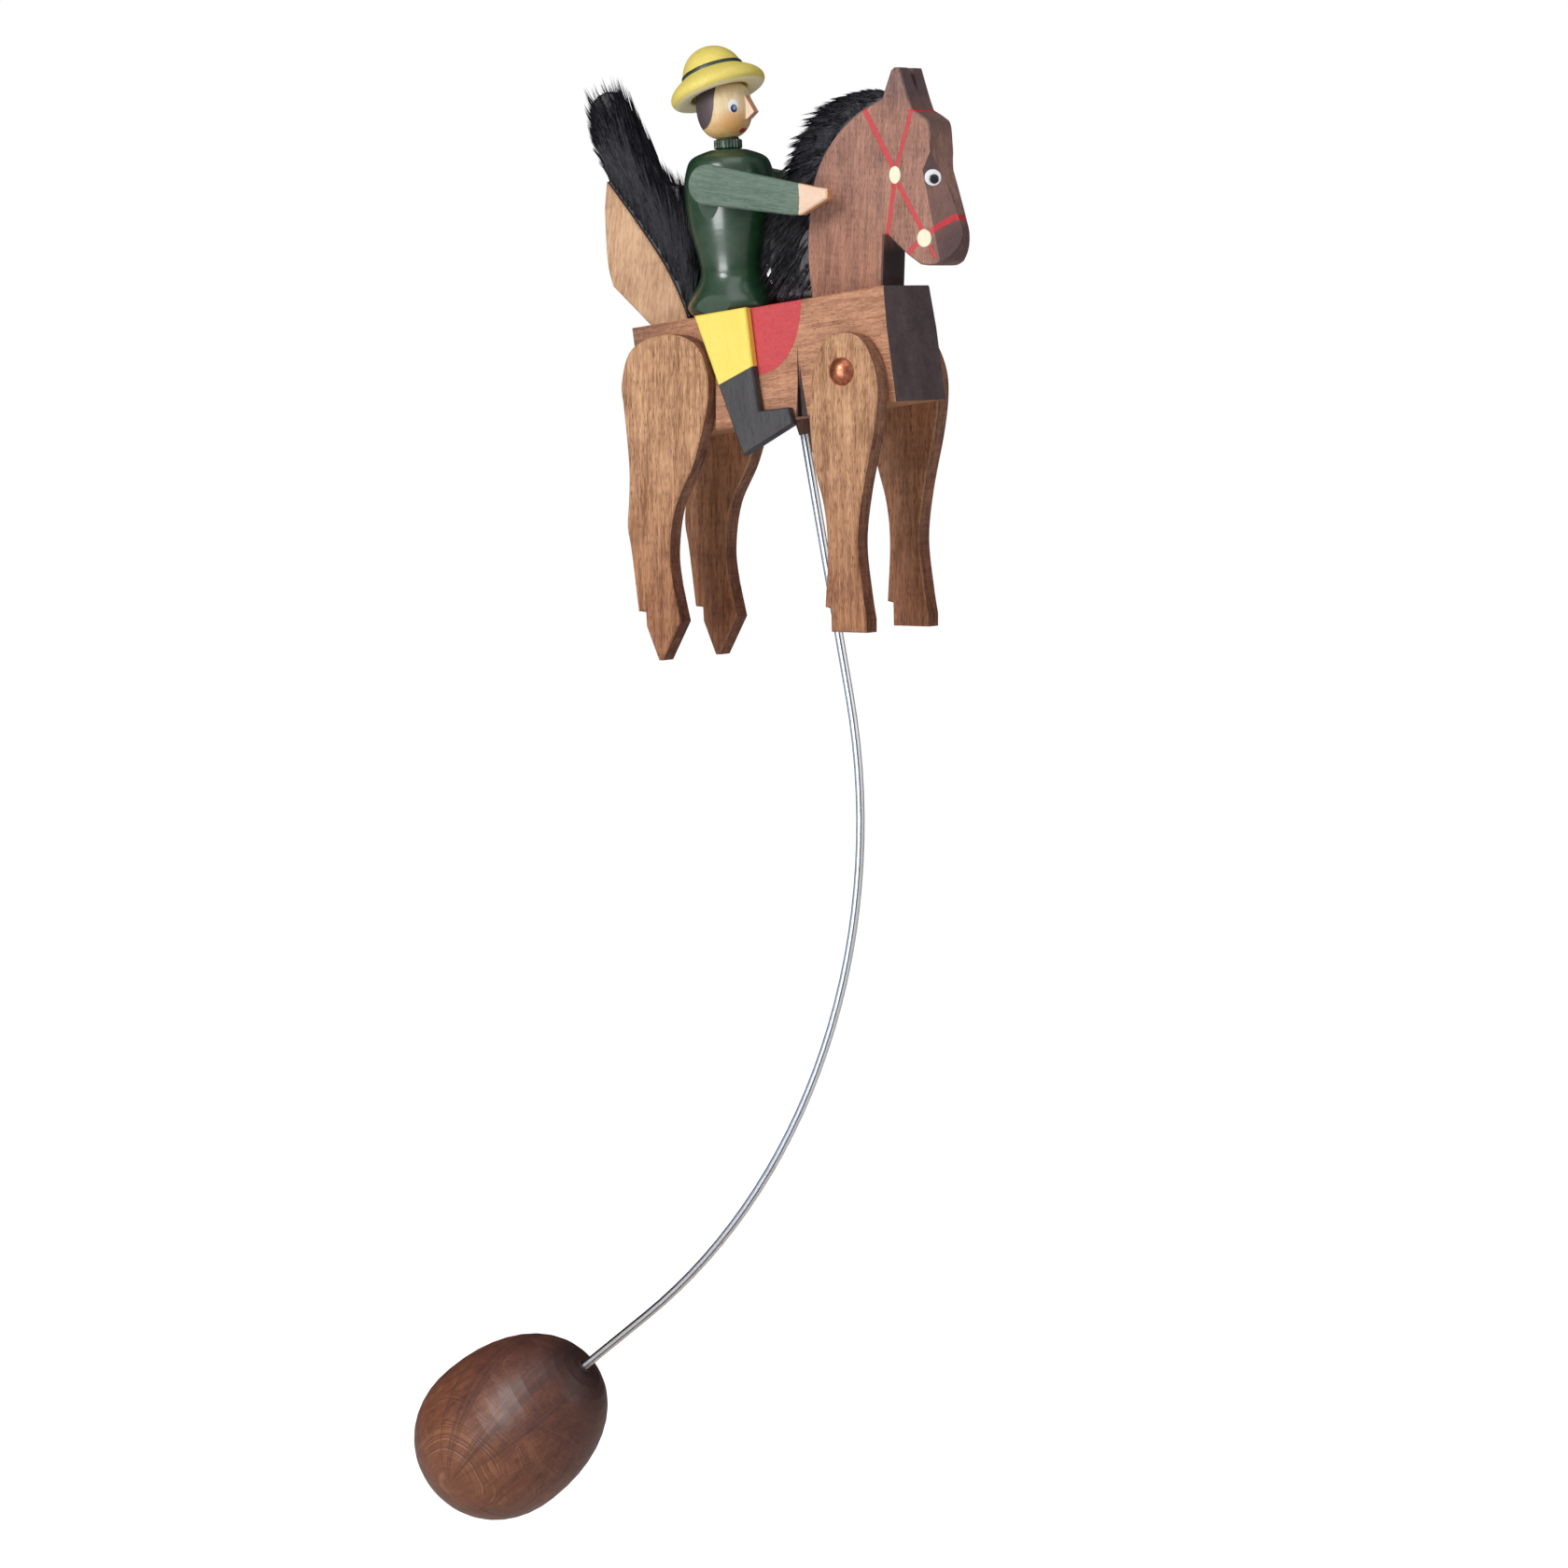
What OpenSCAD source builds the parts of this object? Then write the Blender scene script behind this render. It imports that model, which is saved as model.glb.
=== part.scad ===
// Wooden balancing rider: a sawn and turned toy horse that rocks on the pointed tips of its rear hooves.
// The origin is midway between the two tips. +X is forward, +Y is the horse's left, +Z is up. Millimetres.

/* [Body block] */
// Length of the body block along its back
trunk_l = 69; // [66:1:76]
// Height of the body block
trunk_h = 27; // [25:0.5:29]
// Width across the back
trunk_top_w = 22; // [21:0.5:24]
// Outward flare of each side, in degrees
trunk_flare = 5.4; // [4:0.2:7]
// Nose-up tilt of the body block, in degrees
trunk_pitch = 8.5; // [6:0.5:11]
// How far the rear end of the back lies behind the hoof tips
trunk_overhang = 10.9; // [9:0.5:12]
// How far the rear end of the back stands above the top of the rear legs
back_above_leg = 1.4; // [0.5:0.1:3]
// Lean of the walls of the leg seats against the block's own square, in degrees
seat_rake = 4.7; // [0:0.5:8]

/* [Rear legs] */
// Length of a rear leg from hoof tip to top
rear_leg_l = 76.7; // [72:0.5:80]
// Greatest width of a rear leg, at the thigh
thigh_w = 23.4; // [21:0.2:25]
// Width of a rear leg below the hock
rear_shin_w = 10.6; // [9:0.2:12]
// Thickness of all four legs
leg_t = 5.4; // [4.5:0.1:6]
// Distance between the two rear leg seats
rear_seat_w = 20.9; // [19:0.1:21]
// Length of each rear leg seat along the block
rear_seat_l = 22.2; // [22:0.1:24]

/* [Front legs] */
// Length of a front leg from its nail down to the sole
front_leg_l = 60.3; // [56:0.5:64]
// Greatest width of a front leg, at the shoulder
shoulder_w = 17.9; // [16:0.1:19]
// Width of a front leg at its narrowest, above the hoof
shin_w = 8; // [7:0.1:9]
// Distance between the two front leg seats
front_seat_w = 23.9; // [23:0.1:25]
// Length of each front leg seat along the block
front_seat_l = 24.4; // [22:0.2:26]
// Distance of the nail from the chest
nail_from_chest = 10.2; // [9:0.2:12]
// Depth of the nail below the back
nail_depth = 18.5; // [17:0.5:20]
// Gap between a front leg and its seat
leg_gap = 0.2; // [0.15:0.05:0.3]

/* [Copper nails] */
// Diameter of the nail's shank
nail_d = 2; // [1.6:0.1:2.4]
// Diameter of the domed head
nail_head_d = 6.5; // [5.5:0.1:7]
// Height of the domed head
nail_head_h = 2; // [1.5:0.1:2.5]
// Depth of the shank in the body block
nail_grip = 9; // [7:0.5:10]

/* [Neck and head board] */
// Thickness of the neck and head board
neck_t = 11; // [9:0.5:12]
// Distance of the front of the neck from the chest
neck_from_chest = 3.6; // [2:0.2:5]
// Width of the neck on the back
neck_w = 18.6; // [17:0.2:20]
// Height of the poll above the back
poll_h = 43.7; // [41:0.5:47]
// Width across the nose after the cheeks are carved back
muzzle_w = 5.6; // [4:0.2:8]
// Length of the ears above the poll
ear_l = 7.1; // [5:0.1:9]
// Width of the notch between the ears
ear_notch_w = 3; // [2:0.1:4]

/* [Tail board] */
// Thickness of the tail board
tail_t = 8; // [6:0.5:9]
// Distance of the tail board from the rear end of the back
tail_from_rump = 1.6; // [1.2:0.1:3]
// Height of the tail board above its foot
tail_h = 34.4; // [31:0.2:37]
// Length of the tail board's foot on the back
tail_foot_l = 9.6; // [8:0.2:10]

/* [Fur strips] */
// Thickness of the skin of the fur strips
hide_t = 0.8; // [0.6:0.1:1.2]
// Width of the mane strip
mane_w = 8; // [6:0.5:9]
// Length of the hair of the mane
mane_hair = 8.8; // [7:0.2:10]
// Width of the tail strip
tail_fur_w = 7; // [5:0.5:8]
// How far the hair of the tail stands above the tail board
tail_hair_rise = 22.5; // [18:0.5:25]

/* [Wire and counterweight] */
// Diameter of the spring steel wire
wire_d = 2; // [1.8:0.1:2.4]
// Distance of the wire from the rear end, along the belly
wire_from_rump = 36.7; // [34:0.1:39]
// Lean of the wire where it leaves the belly, in degrees from plumb
wire_lean = 11.3; // [8:0.1:14]
// Straight length of the wire below the belly
wire_upper_l = 65.8; // [62:0.1:74]
// Radius of the long bend
wire_bend_r = 154.6; // [145:0.1:165]
// Angle of the long bend
wire_bend_angle = 63.2; // [58:0.1:66]
// Straight length of the wire above the counterweight
wire_lower_l = 22.2; // [18:0.2:26]
// Depth of the wire in the belly
wire_grip = 14; // [10:0.5:15]
// Diameter of the turned counterweight
ball_d = 40.6; // [36:0.2:44]
// Length from the wire's hole to the widest ring
ball_neck_l = 30.2; // [27:0.2:33]
// Length from the widest ring to the blunt end
ball_base_l = 21.8; // [19:0.2:24]

/* [Rider] */
// Distance of the rider's axis from the rear end of the back
rider_from_rump = 22.4; // [21.4:0.1:24]
// Lean of the rider's body, in degrees backward
rider_lean = 2.8; // [0:0.2:4]
// Height of the body up to the collar
torso_h = 38.6; // [37:0.2:41]
// Diameter across the chest
chest_d = 21.6; // [20:0.2:22]
// Diameter of the waist
waist_d = 15.5; // [14:0.2:17]
// Diameter of the coat's skirt
skirt_d = 22.2; // [21:0.2:23]
// Diameter of the rolled collar
collar_d = 6.4; // [5.8:0.1:7]
// Height of the rolled collar
collar_h = 2.6; // [2.2:0.1:3]
// Diameter of the head
head_d = 13.2; // [12.2:0.1:13.6]
// Height of the head below its widest ring
chin_h = 8; // [7:0.1:9]
// Lean of the head, in degrees backward
head_lean = 8; // [4:0.5:12]
// How far the nose stands out of the face
nose_l = 2; // [1.6:0.1:3]
// Diameter of the hat's brim
brim_d = 23.6; // [21:0.2:25]
// Diameter of the hat's crown
crown_d = 14.3; // [14:0.1:15.5]
// Height of the crown above the edge of the brim
crown_h = 10.4; // [10:0.1:12]
// Tilt of the hat, in degrees backward
hat_tilt = 18; // [14:0.5:22]
// Depth of the brim below its widest ring
brim_t = 1.9; // [1.5:0.1:2.2]
// Thickness of the arms
arm_t = 2.7; // [2:0.1:3.2]
// Distance between the inner faces of the arms
arm_span = 20.4; // [19:0.1:20.6]
// Length of an arm from the shoulder to the finger tips
arm_l = 32.8; // [31:0.2:35]
// Width of an arm at the shoulder
arm_w = 9.5; // [8.5:0.1:10]
// Thickness of the rider's legs
rider_leg_t = 2.6; // [2:0.1:2.8]
// Length of a rider's leg from the back down to the heel
rider_leg_l = 34.5; // [33:0.5:36]

/* [Joinery] */
// Diameter of the glued dowels
dowel_d = 4; // [3:0.5:4]
// Depth of a dowel in the body block
dowel_depth = 8; // [6:0.5:9]
// Diameter of the dowel through the rider's neck
head_dowel_d = 3; // [2.5:0.1:3.4]
// Clearance round a glued dowel, wire or nail
glue_fit = 0.04; // [0.02:0.01:0.08]
// Clearance between a front leg and its nail, on the radius
swing_fit = 0.06; // [0.03:0.01:0.1]
// Width of the broken edge on the sawn boards
ease = 0.35; // [0.2:0.05:0.5]

/* [Hidden] */

$fn = 48;
curve_steps = 6;
soft_gap = 0.3;

stained = [0.60, 0.40, 0.26];
dark_stain = [0.40, 0.22, 0.15];
bare_wood = [0.80, 0.62, 0.46];
fur_black = [0.08, 0.08, 0.09];
copper = [0.72, 0.40, 0.26];
steel = [0.78, 0.79, 0.80];
coat_green = [0.10, 0.25, 0.15];
sleeve_green = [0.28, 0.42, 0.34];
hat_yellow = [0.92, 0.82, 0.40];
skin_wood = [0.93, 0.80, 0.63];
trouser_yellow = [0.97, 0.87, 0.36];

// Height of the rear end of the back above the hoof tips
trunk_rear_z = rear_leg_l + back_above_leg;
// Side-view places [x, z] of points given along and below the back
function at_back(s, depth) = [
    -trunk_overhang + s * cos(trunk_pitch) + depth * sin(trunk_pitch),
    trunk_rear_z + s * sin(trunk_pitch) - depth * cos(trunk_pitch)];
// Height of the back above a given x
function back_z(x) = trunk_rear_z + (x + trunk_overhang) * tan(trunk_pitch);
trunk_bottom_w = trunk_top_w + 2 * trunk_h * tan(trunk_flare);

pivot = at_back(trunk_l - nail_from_chest, nail_depth);
neck_foot = at_back(trunk_l - neck_from_chest, 0);
tail_foot = at_back(tail_from_rump, 0);
wire_exit = at_back(wire_from_rump, trunk_h);
rider_foot = at_back(rider_from_rump, 0);

front_leg_in = front_seat_w / 2 + leg_gap;
front_leg_out = front_leg_in + leg_t;
head_top_h = 6;

// Points on a smooth curve through all the points p
function spline(p) = [
    for (i = [0 : len(p) - 2])
        let (a = p[max(i - 1, 0)], b = p[i], c = p[i + 1], d = p[min(i + 2, len(p) - 1)])
            for (k = [0 : curve_steps - 1])
                let (t = k / curve_steps)
                    (2 * b + (c - a) * t + (2 * a - 5 * b + 4 * c - d) * t * t
                        + (3 * b - a - 3 * c + d) * t * t * t) / 2,
    p[len(p) - 1]];

// Unit normal of the open line p at point i, to the left of its direction
function left_normal(p, i) =
    let (d = p[min(i + 1, len(p) - 1)] - p[max(i - 1, 0)])
        [-d[1], d[0]] / norm(d);

// The closed outline p, drawn in by w on each side; it runs anticlockwise
function drawn_in(p, w) = [
    for (i = [0 : len(p) - 1])
        let (a = p[(i + len(p) - 1) % len(p)], b = p[i], c = p[(i + 1) % len(p)],
            u = (b - a) / norm(b - a), v = (c - b) / norm(c - b),
            m = [-u[1] - v[1], u[0] + v[0]])
            b + m * 2 * w / max(0.35, m * m)];

// True if corner i of the corners k still left of outline p can be cut off as a whole triangle
function is_ear(p, k, i) =
    let (n = len(k), a = p[k[(i + n - 1) % n]], b = p[k[i]], c = p[k[(i + 1) % n]])
        cross(b - a, c - b) > 0.00001 &&
        len([
            for (j = k)
                let (q = p[j])
                    if (q != a && q != b && q != c && cross(b - a, q - a) >= 0 &&
                        cross(c - b, q - b) >= 0 && cross(a - c, q - c) >= 0) j]) == 0;

function first_ear(p, k, i = 0) = i >= len(k) ? 0 : is_ear(p, k, i) ? i : first_ear(p, k, i + 1);

// Fills an outline that runs anticlockwise with triangles, by cutting off one ear after another
function filled(p) = [
    for (k = [for (i = [0 : len(p) - 1]) i], e = first_ear(p, k);
         len(k) > 2;
         k = [for (i = [0 : len(k) - 1]) if (i != e) k[i]], e = first_ear(p, k))
        [k[(e + len(k) - 1) % len(k)], k[e], k[(e + 1) % len(k)]]];

// Turns a side-view outline [x, z] into a board of thickness t that starts at y = 0
module board(outline, t, edge = ease) {
    n = len(outline);
    inner = drawn_in(outline, edge);
    depths = [0, edge, t - edge, t];
    points = [
        for (k = [0 : 3])
            for (i = [0 : n - 1])
                let (q = (k == 0 || k == 3) ? inner[i] : outline[i])
                    [q[0], depths[k], q[1]]];
    wall = [
        for (i = [0 : n - 1])
            [n + i, n + (i + 1) % n, 2 * n + (i + 1) % n, 2 * n + i]];
    eased = [
        for (k = [0, 2])
            for (i = [0 : n - 1])
                let (j = (i + 1) % n)
                    for (half = [[k * n + i, k * n + j, (k + 1) * n + j],
                                 [k * n + i, (k + 1) * n + j, (k + 1) * n + i]])
                        half];
    caps = [
        for (f = filled(inner))
            for (face = [[f[2], f[1], f[0]], [for (i = f) 3 * n + i]])
                face];
    polyhedron(points, concat(wall, eased, caps), convexity = 6);
}

// Turns a side-view outline [x, z] into a plain slab of thickness t centred on the mid-plane
module slab(outline, t) {
    translate([0, t / 2, 0])
        rotate([90, 0, 0])
            linear_extrude(t, convexity = 6)
                polygon(outline);
}

// Puts children in the body block's own frame: x along the back, z square to it, origin at the rear end
module on_trunk() {
    translate([-trunk_overhang, 0, trunk_rear_z])
        rotate([0, -trunk_pitch, 0])
            children();
}

module both_sides() {
    children();
    mirror([0, 1, 0])
        children();
}

// A pin along y, centred on the mid-plane
module cross_pin(d, l) {
    rotate([90, 0, 0])
        cylinder(d = d, h = l, center = true);
}

// Body block
module trunk_section() {
    polygon([
        [-trunk_bottom_w / 2 + ease, -trunk_h], [trunk_bottom_w / 2 - ease, -trunk_h],
        [trunk_bottom_w / 2 - ease * tan(trunk_flare), -trunk_h + ease],
        [trunk_top_w / 2 + ease * tan(trunk_flare), -ease], [trunk_top_w / 2 - ease, 0],
        [-trunk_top_w / 2 + ease, 0], [-trunk_top_w / 2 - ease * tan(trunk_flare), -ease],
        [-trunk_bottom_w / 2 + ease * tan(trunk_flare), -trunk_h + ease]]);
}

// Cuts the right side of the block back to half_w, ahead of or behind the wall at s
module leg_seat(s, half_w, ahead) {
    translate([s, 0, -trunk_h / 2])
        rotate([0, seat_rake, 0])
            translate([ahead ? 0 : -trunk_l, -half_w - trunk_h, -trunk_h])
                cube([trunk_l, trunk_h, 2 * trunk_h]);
}

module trunk_solid() {
    difference() {
        on_trunk()
            rotate([90, 0, 90])
                linear_extrude(trunk_l)
                    trunk_section();
        both_sides()
            on_trunk() {
                leg_seat(trunk_l - front_seat_l, front_seat_w / 2, true);
                leg_seat(rear_seat_l, rear_seat_w / 2, false);
            }
    }
}

module trunk_block() {
    color(stained)
        difference() {
            trunk_solid();
            nail_holes();
            neck_dowel_pair(glue_fit);
            tail_pin(glue_fit);
            hip_pin(glue_fit);
            torso_pin(glue_fit);
            wire_pin(glue_fit);
        }
}

// Everything above the back, for trimming what stands on it
module below_back() {
    on_trunk()
        translate([-trunk_l, -trunk_l, -trunk_h])
            cube([3 * trunk_l, 2 * trunk_l, trunk_h]);
}

// Rear legs
function rear_leg_outline() =
    let (w = thigh_w, s = rear_shin_w, l = rear_leg_l)
        concat(
            [[0.5, 0], [0.51 * s, 0.121 * l]],
            spline([
                [0.32 * s, 0.228 * l], [0.23 * s, 0.332 * l], [0.17 * w, 0.472 * l],
                [0.38 * w, 0.605 * l], [0.542 * w, 0.785 * l], [0.53 * w, 0.897 * l],
                [0.37 * w, 0.978 * l], [0.034 * w, l], [-0.335 * w, 0.955 * l],
                [-0.457 * w, 0.853 * l], [-0.43 * w, 0.766 * l], [-0.372 * w, 0.6 * l],
                [-0.375 * w, 0.49 * l], [-0.86 * s, 0.409 * l], [-0.755 * s, 0.328 * l],
                [-0.575 * s, 0.149 * l]]),
            [[-0.387 * s, 0.147 * l], [-0.368 * s, 0.104 * l], [-0.5, 0]]);

module hip_pin(fit) {
    translate([0, 0, 0.86 * rear_leg_l])
        cross_pin(dowel_d + 2 * fit, rear_seat_w + 1.3 * leg_t + 2 * fit);
}

module rear_leg() {
    difference() {
        translate([0, -rear_seat_w / 2 - leg_t, 0])
            board(rear_leg_outline(), leg_t);
        hip_pin(glue_fit);
    }
}

module right_rear_leg() {
    color(stained)
        rear_leg();
}

module left_rear_leg() {
    color(stained)
        mirror([0, 1, 0])
            rear_leg();
}

// Front legs, drawn round the nail
function front_leg_outline() =
    let (w = shoulder_w, s = shin_w, l = front_leg_l)
        concat(
            [[-0.34 * s, -l], [0.825 * s, -l]],
            spline([
                [0.825 * s, -0.95 * l], [0.69 * s, -0.85 * l], [0.52 * s, -0.66 * l],
                [0.3 * w, -0.47 * l], [0.465 * w, -0.235 * l], [0.52 * w, -0.08 * l],
                [0.464 * w, 0.025 * l], [0.29 * w, 0.119 * l], [0.05 * w, 0.148 * l],
                [-0.255 * w, 0.117 * l], [-0.42 * w, 0.013 * l], [-0.48 * w, -0.14 * l],
                [-0.462 * w, -0.26 * l], [-0.405 * w, -0.375 * l], [-0.6 * s, -0.52 * l],
                [-0.475 * s, -0.68 * l], [-0.55 * s, -0.905 * l]]),
            [[-0.36 * s, -0.91 * l]]);

module front_leg() {
    translate([pivot[0], 0, pivot[1]])
        difference() {
            translate([0, -front_leg_out, 0])
                board(front_leg_outline(), leg_t);
            cross_pin(nail_d + 2 * swing_fit, 3 * front_leg_out);
        }
}

module right_front_leg() {
    color(stained)
        front_leg();
}

module left_front_leg() {
    color(stained)
        mirror([0, 1, 0])
            front_leg();
}

// Copper nails: the shank points inward along +y from the head
nail_tip = front_seat_w / 2 - nail_grip;
nail_seat = front_leg_out + leg_gap / 2;
module nail() {
    dome_r = (pow(nail_head_d / 2, 2) + pow(nail_head_h, 2)) / (2 * nail_head_h);
    dome_half = asin(nail_head_d / 2 / dome_r);
    translate([pivot[0], -nail_seat, pivot[1]])
        rotate([90, 0, 0])
            rotate_extrude()
                polygon(concat(
                    [[0, nail_tip - nail_seat], [nail_d / 4, nail_tip - nail_seat],
                        [nail_d / 2, nail_tip - nail_seat + nail_d / 2], [nail_d / 2, 0]],
                    [for (k = [0 : 8])
                        let (a = dome_half * (1 - k / 8))
                            [dome_r * sin(a), nail_head_h - dome_r + dome_r * cos(a)]]));
}

module nail_holes() {
    both_sides()
        translate([pivot[0], -nail_tip + glue_fit, pivot[1]])
            rotate([90, 0, 0])
                cylinder(d = nail_d + 2 * glue_fit, h = trunk_bottom_w);
}

module right_leg_nail() {
    color(copper)
        nail();
}

module left_leg_nail() {
    color(copper)
        mirror([0, 1, 0])
            nail();
}

// Neck and head board, drawn from the front foot of the neck
crest = [
    [-neck_w, -0.06 * poll_h], [-1.06 * neck_w, 0.21 * poll_h], [-0.985 * neck_w, 0.54 * poll_h],
    [-0.75 * neck_w, 0.753 * poll_h], [-0.4 * neck_w, 0.904 * poll_h], [0, poll_h]];
crest_curve = [for (p = spline(crest)) p + neck_foot];
brow = [0.7 * neck_w, 0.75 * poll_h];
lip = [1.04 * neck_w, 0.28 * poll_h];
nose_mid = [0.83 * neck_w, 0.56 * poll_h];

function neck_outline() = concat(
    [[0, -0.08 * poll_h] + neck_foot],
    [for (p = [[0.55, 0.277 * poll_h], [1.4, 0.284 * poll_h], [0.38 * neck_w, 0.172 * poll_h]])
        p + neck_foot],
    [for (p = spline([
        [0.56 * neck_w, 0.122 * poll_h], [0.78 * neck_w, 0.122 * poll_h],
        [0.97 * neck_w, 0.19 * poll_h], lip, [0.985 * neck_w, 0.375 * poll_h], nose_mid,
        [0.72 * neck_w, 0.68 * poll_h], brow, [0.67 * neck_w, 0.862 * poll_h],
        [0.59 * neck_w, 0.9 * poll_h], [0.43 * neck_w, 0.94 * poll_h]]))
        p + neck_foot],
    [for (p = [
        [0.375 * neck_w, poll_h], [0.3 * neck_w, poll_h + 0.6 * ear_l],
        [0.25 * neck_w, poll_h + ear_l], [0.17 * neck_w, poll_h + ear_l],
        [0.125 * neck_w, poll_h + 0.9 * ear_l]])
        p + neck_foot],
    [for (i = [len(crest_curve) - 1 : -1 : 0]) crest_curve[i]]);

// Wedge that carves the right cheek back, from the brow down to the chin
module cheek_cut() {
    side = -neck_t / 2;
    slope = [0.2 * neck_w, (neck_t - muzzle_w) / 2, 0];
    away = [0.3 * neck_w, -neck_t, 0];
    face_line = [
        [0.72 * neck_w, side, 0.745 * poll_h],
        [0.585 * neck_w, side, 0.62 * poll_h],
        [0.88 * neck_w, side, 0.05 * poll_h]];
    translate([neck_foot[0], 0, neck_foot[1]])
        hull()
            for (p = face_line)
                for (q = [p - slope, p + 3 * slope, p - slope + away, p + 3 * slope + away])
                    translate(q)
                        cube(0.01);
}

// Notch between the ears, cut from the front
module ear_notch() {
    translate([neck_foot[0], 0, neck_foot[1] + poll_h + 0.2 * ear_l])
        rotate([90, 0, 90])
            linear_extrude(2 * neck_w, center = true)
                polygon([[0, 0], [0.6 * ear_notch_w, ear_l], [-0.6 * ear_notch_w, ear_l]]);
}

module neck_head() {
    color(stained)
        difference() {
            translate([0, -neck_t / 2, 0])
                board(neck_outline(), neck_t);
            both_sides()
                cheek_cut();
            ear_notch();
            below_back();
            neck_dowel_pair(glue_fit);
        }
}

// A glued dowel that stands square on the back at s
module back_pin(s, d, up, down, fit) {
    on_trunk()
        translate([s, 0, -down - fit])
            cylinder(d = d + 2 * fit, h = up + down + 2 * fit);
}

module neck_dowel_pair(fit) {
    for (k = [-1, 1])
        back_pin(trunk_l - neck_from_chest - neck_w / 2 + k * 0.27 * neck_w, dowel_d,
            dowel_depth, dowel_depth, fit);
}

module neck_dowels() {
    color(bare_wood)
        neck_dowel_pair(0);
}

// Tail board, drawn from its rear foot
tail_front = [
    [1.0 * tail_foot_l, 0.06 * tail_h], [0.8 * tail_foot_l, 0.19 * tail_h],
    [0.32 * tail_foot_l, 0.43 * tail_h], [-0.42 * tail_foot_l, 0.7 * tail_h],
    [-1.32 * tail_foot_l, tail_h]];
tail_curve = [for (p = spline(tail_front)) p + tail_foot];

function tail_outline() = concat(
    [[0.4 * tail_foot_l, -0.1 * tail_h] + tail_foot, [tail_foot_l, -0.1 * tail_h] + tail_foot],
    tail_curve,
    [for (p = spline([
        [-1.38 * tail_foot_l, 0.82 * tail_h], [-1.34 * tail_foot_l, 0.57 * tail_h],
        [-1.27 * tail_foot_l, 0.4 * tail_h], [-1.14 * tail_foot_l, 0.28 * tail_h]]))
        p + tail_foot]);

module tail_board() {
    color(bare_wood)
        difference() {
            translate([0, -tail_t / 2, 0])
                board(tail_outline(), tail_t);
            below_back();
            tail_pin(glue_fit);
        }
}

module tail_pin(fit) {
    back_pin(tail_from_rump + 0.5 * tail_foot_l, dowel_d, dowel_depth, dowel_depth, fit);
}

module tail_dowel() {
    color(bare_wood)
        tail_pin(0);
}

// Fur strips: skin on the sawn edge, hair outside it
function beside(curve, w) = [for (i = [0 : len(curve) - 1]) curve[i] + left_normal(curve, i) * w];
function reversed(p) = [for (i = [len(p) - 1 : -1 : 0]) p[i]];
// Share of the hair's full length at place t along the mane, from the back up to the poll
function mane_fullness(t) = min(1, 0.17 + 2.4 * (1 - t)) * (1.08 - 0.14 * t);

module mane_hide() {
    color(fur_black)
        difference() {
            slab(concat(crest_curve, reversed(beside(crest_curve, hide_t))), mane_w);
            below_back();
        }
}

module mane_fur() {
    last = len(crest_curve) - 1;
    tips = [for (i = [0 : last])
        crest_curve[i] + left_normal(crest_curve, i) * (hide_t + mane_hair * mane_fullness(i / last))];
    color(fur_black)
        difference() {
            translate([0, -mane_w / 2, 0])
                board(concat(beside(crest_curve, hide_t), reversed(tips)), mane_w, 0.08 * mane_w);
            translate([0, 0, soft_gap])
                below_back();
            torso_room();
        }
}

module tail_hide() {
    color(fur_black)
        difference() {
            slab(concat(tail_curve, reversed(beside(tail_curve, -hide_t))), tail_fur_w);
            below_back();
            torso_room();
        }
}

// Line 2 * soft_gap behind the rider's back, from the shoulders down to the waist
function torso_back() = [
    for (p = reversed(torso_profile(2 * soft_gap)))
        if (p[1] > 0.17 * torso_h && p[1] < 0.8 * torso_h)
            rider_foot + [-p[0] * cos(rider_lean) - p[1] * sin(rider_lean),
                p[1] * cos(rider_lean) - p[0] * sin(rider_lean)]];

module tail_fur() {
    tip = tail_curve[len(tail_curve) - 1];
    rise = tail_hair_rise;
    hair = spline([
        tip + [-0.1 * rise, 0.16 * rise], tip + [-0.24 * rise, 0.55 * rise],
        tip + [-0.25 * rise, 0.87 * rise], tip + [-0.02 * rise, rise],
        tip + [0.19 * rise, 0.64 * rise], tip + [0.4 * rise, 0.3 * rise],
        tip + [0.66 * rise, 0.05 * rise], torso_back()[0] + [-0.5, 1.5]]);
    roots = [for (p = beside(tail_curve, -hide_t)) if (p[1] > tail_foot[1] + 0.2 * tail_h) p];
    color(fur_black)
        translate([0, -tail_fur_w / 2, 0])
            board(concat(reversed(concat(hair, torso_back())), reversed(roots)),
                tail_fur_w, 0.12 * tail_fur_w);
}

// Wire: a straight run, one long bend and a straight run into the counterweight
wire_end_lean = wire_lean - wire_bend_angle;
bend_start = wire_exit + wire_upper_l * [sin(wire_lean), -cos(wire_lean)];
bend_centre = bend_start - wire_bend_r * [cos(wire_lean), sin(wire_lean)];
bend_end = bend_centre + wire_bend_r * [cos(wire_end_lean), sin(wire_end_lean)];
ball_top = bend_end + wire_lower_l * [sin(wire_end_lean), -cos(wire_end_lean)];
ball_grip = 0.5 * ball_neck_l;

// A round bar of length l that starts at p [x, z] and runs down at the given lean from plumb
module bar(p, lean, d, l) {
    translate([p[0], 0, p[1]])
        rotate([0, 180 - lean, 0])
            cylinder(d = d, h = l);
}

module wire_pin(fit) {
    bar(wire_exit - (wire_grip + fit) * [sin(wire_lean), -cos(wire_lean)], wire_lean,
        wire_d + 2 * fit, wire_grip + 4);
}

// The straight runs are a hair thicker than the bend and lap over its ends
run_d = 1.01 * wire_d;
run_lap = 0.15 * wire_d;

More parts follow.
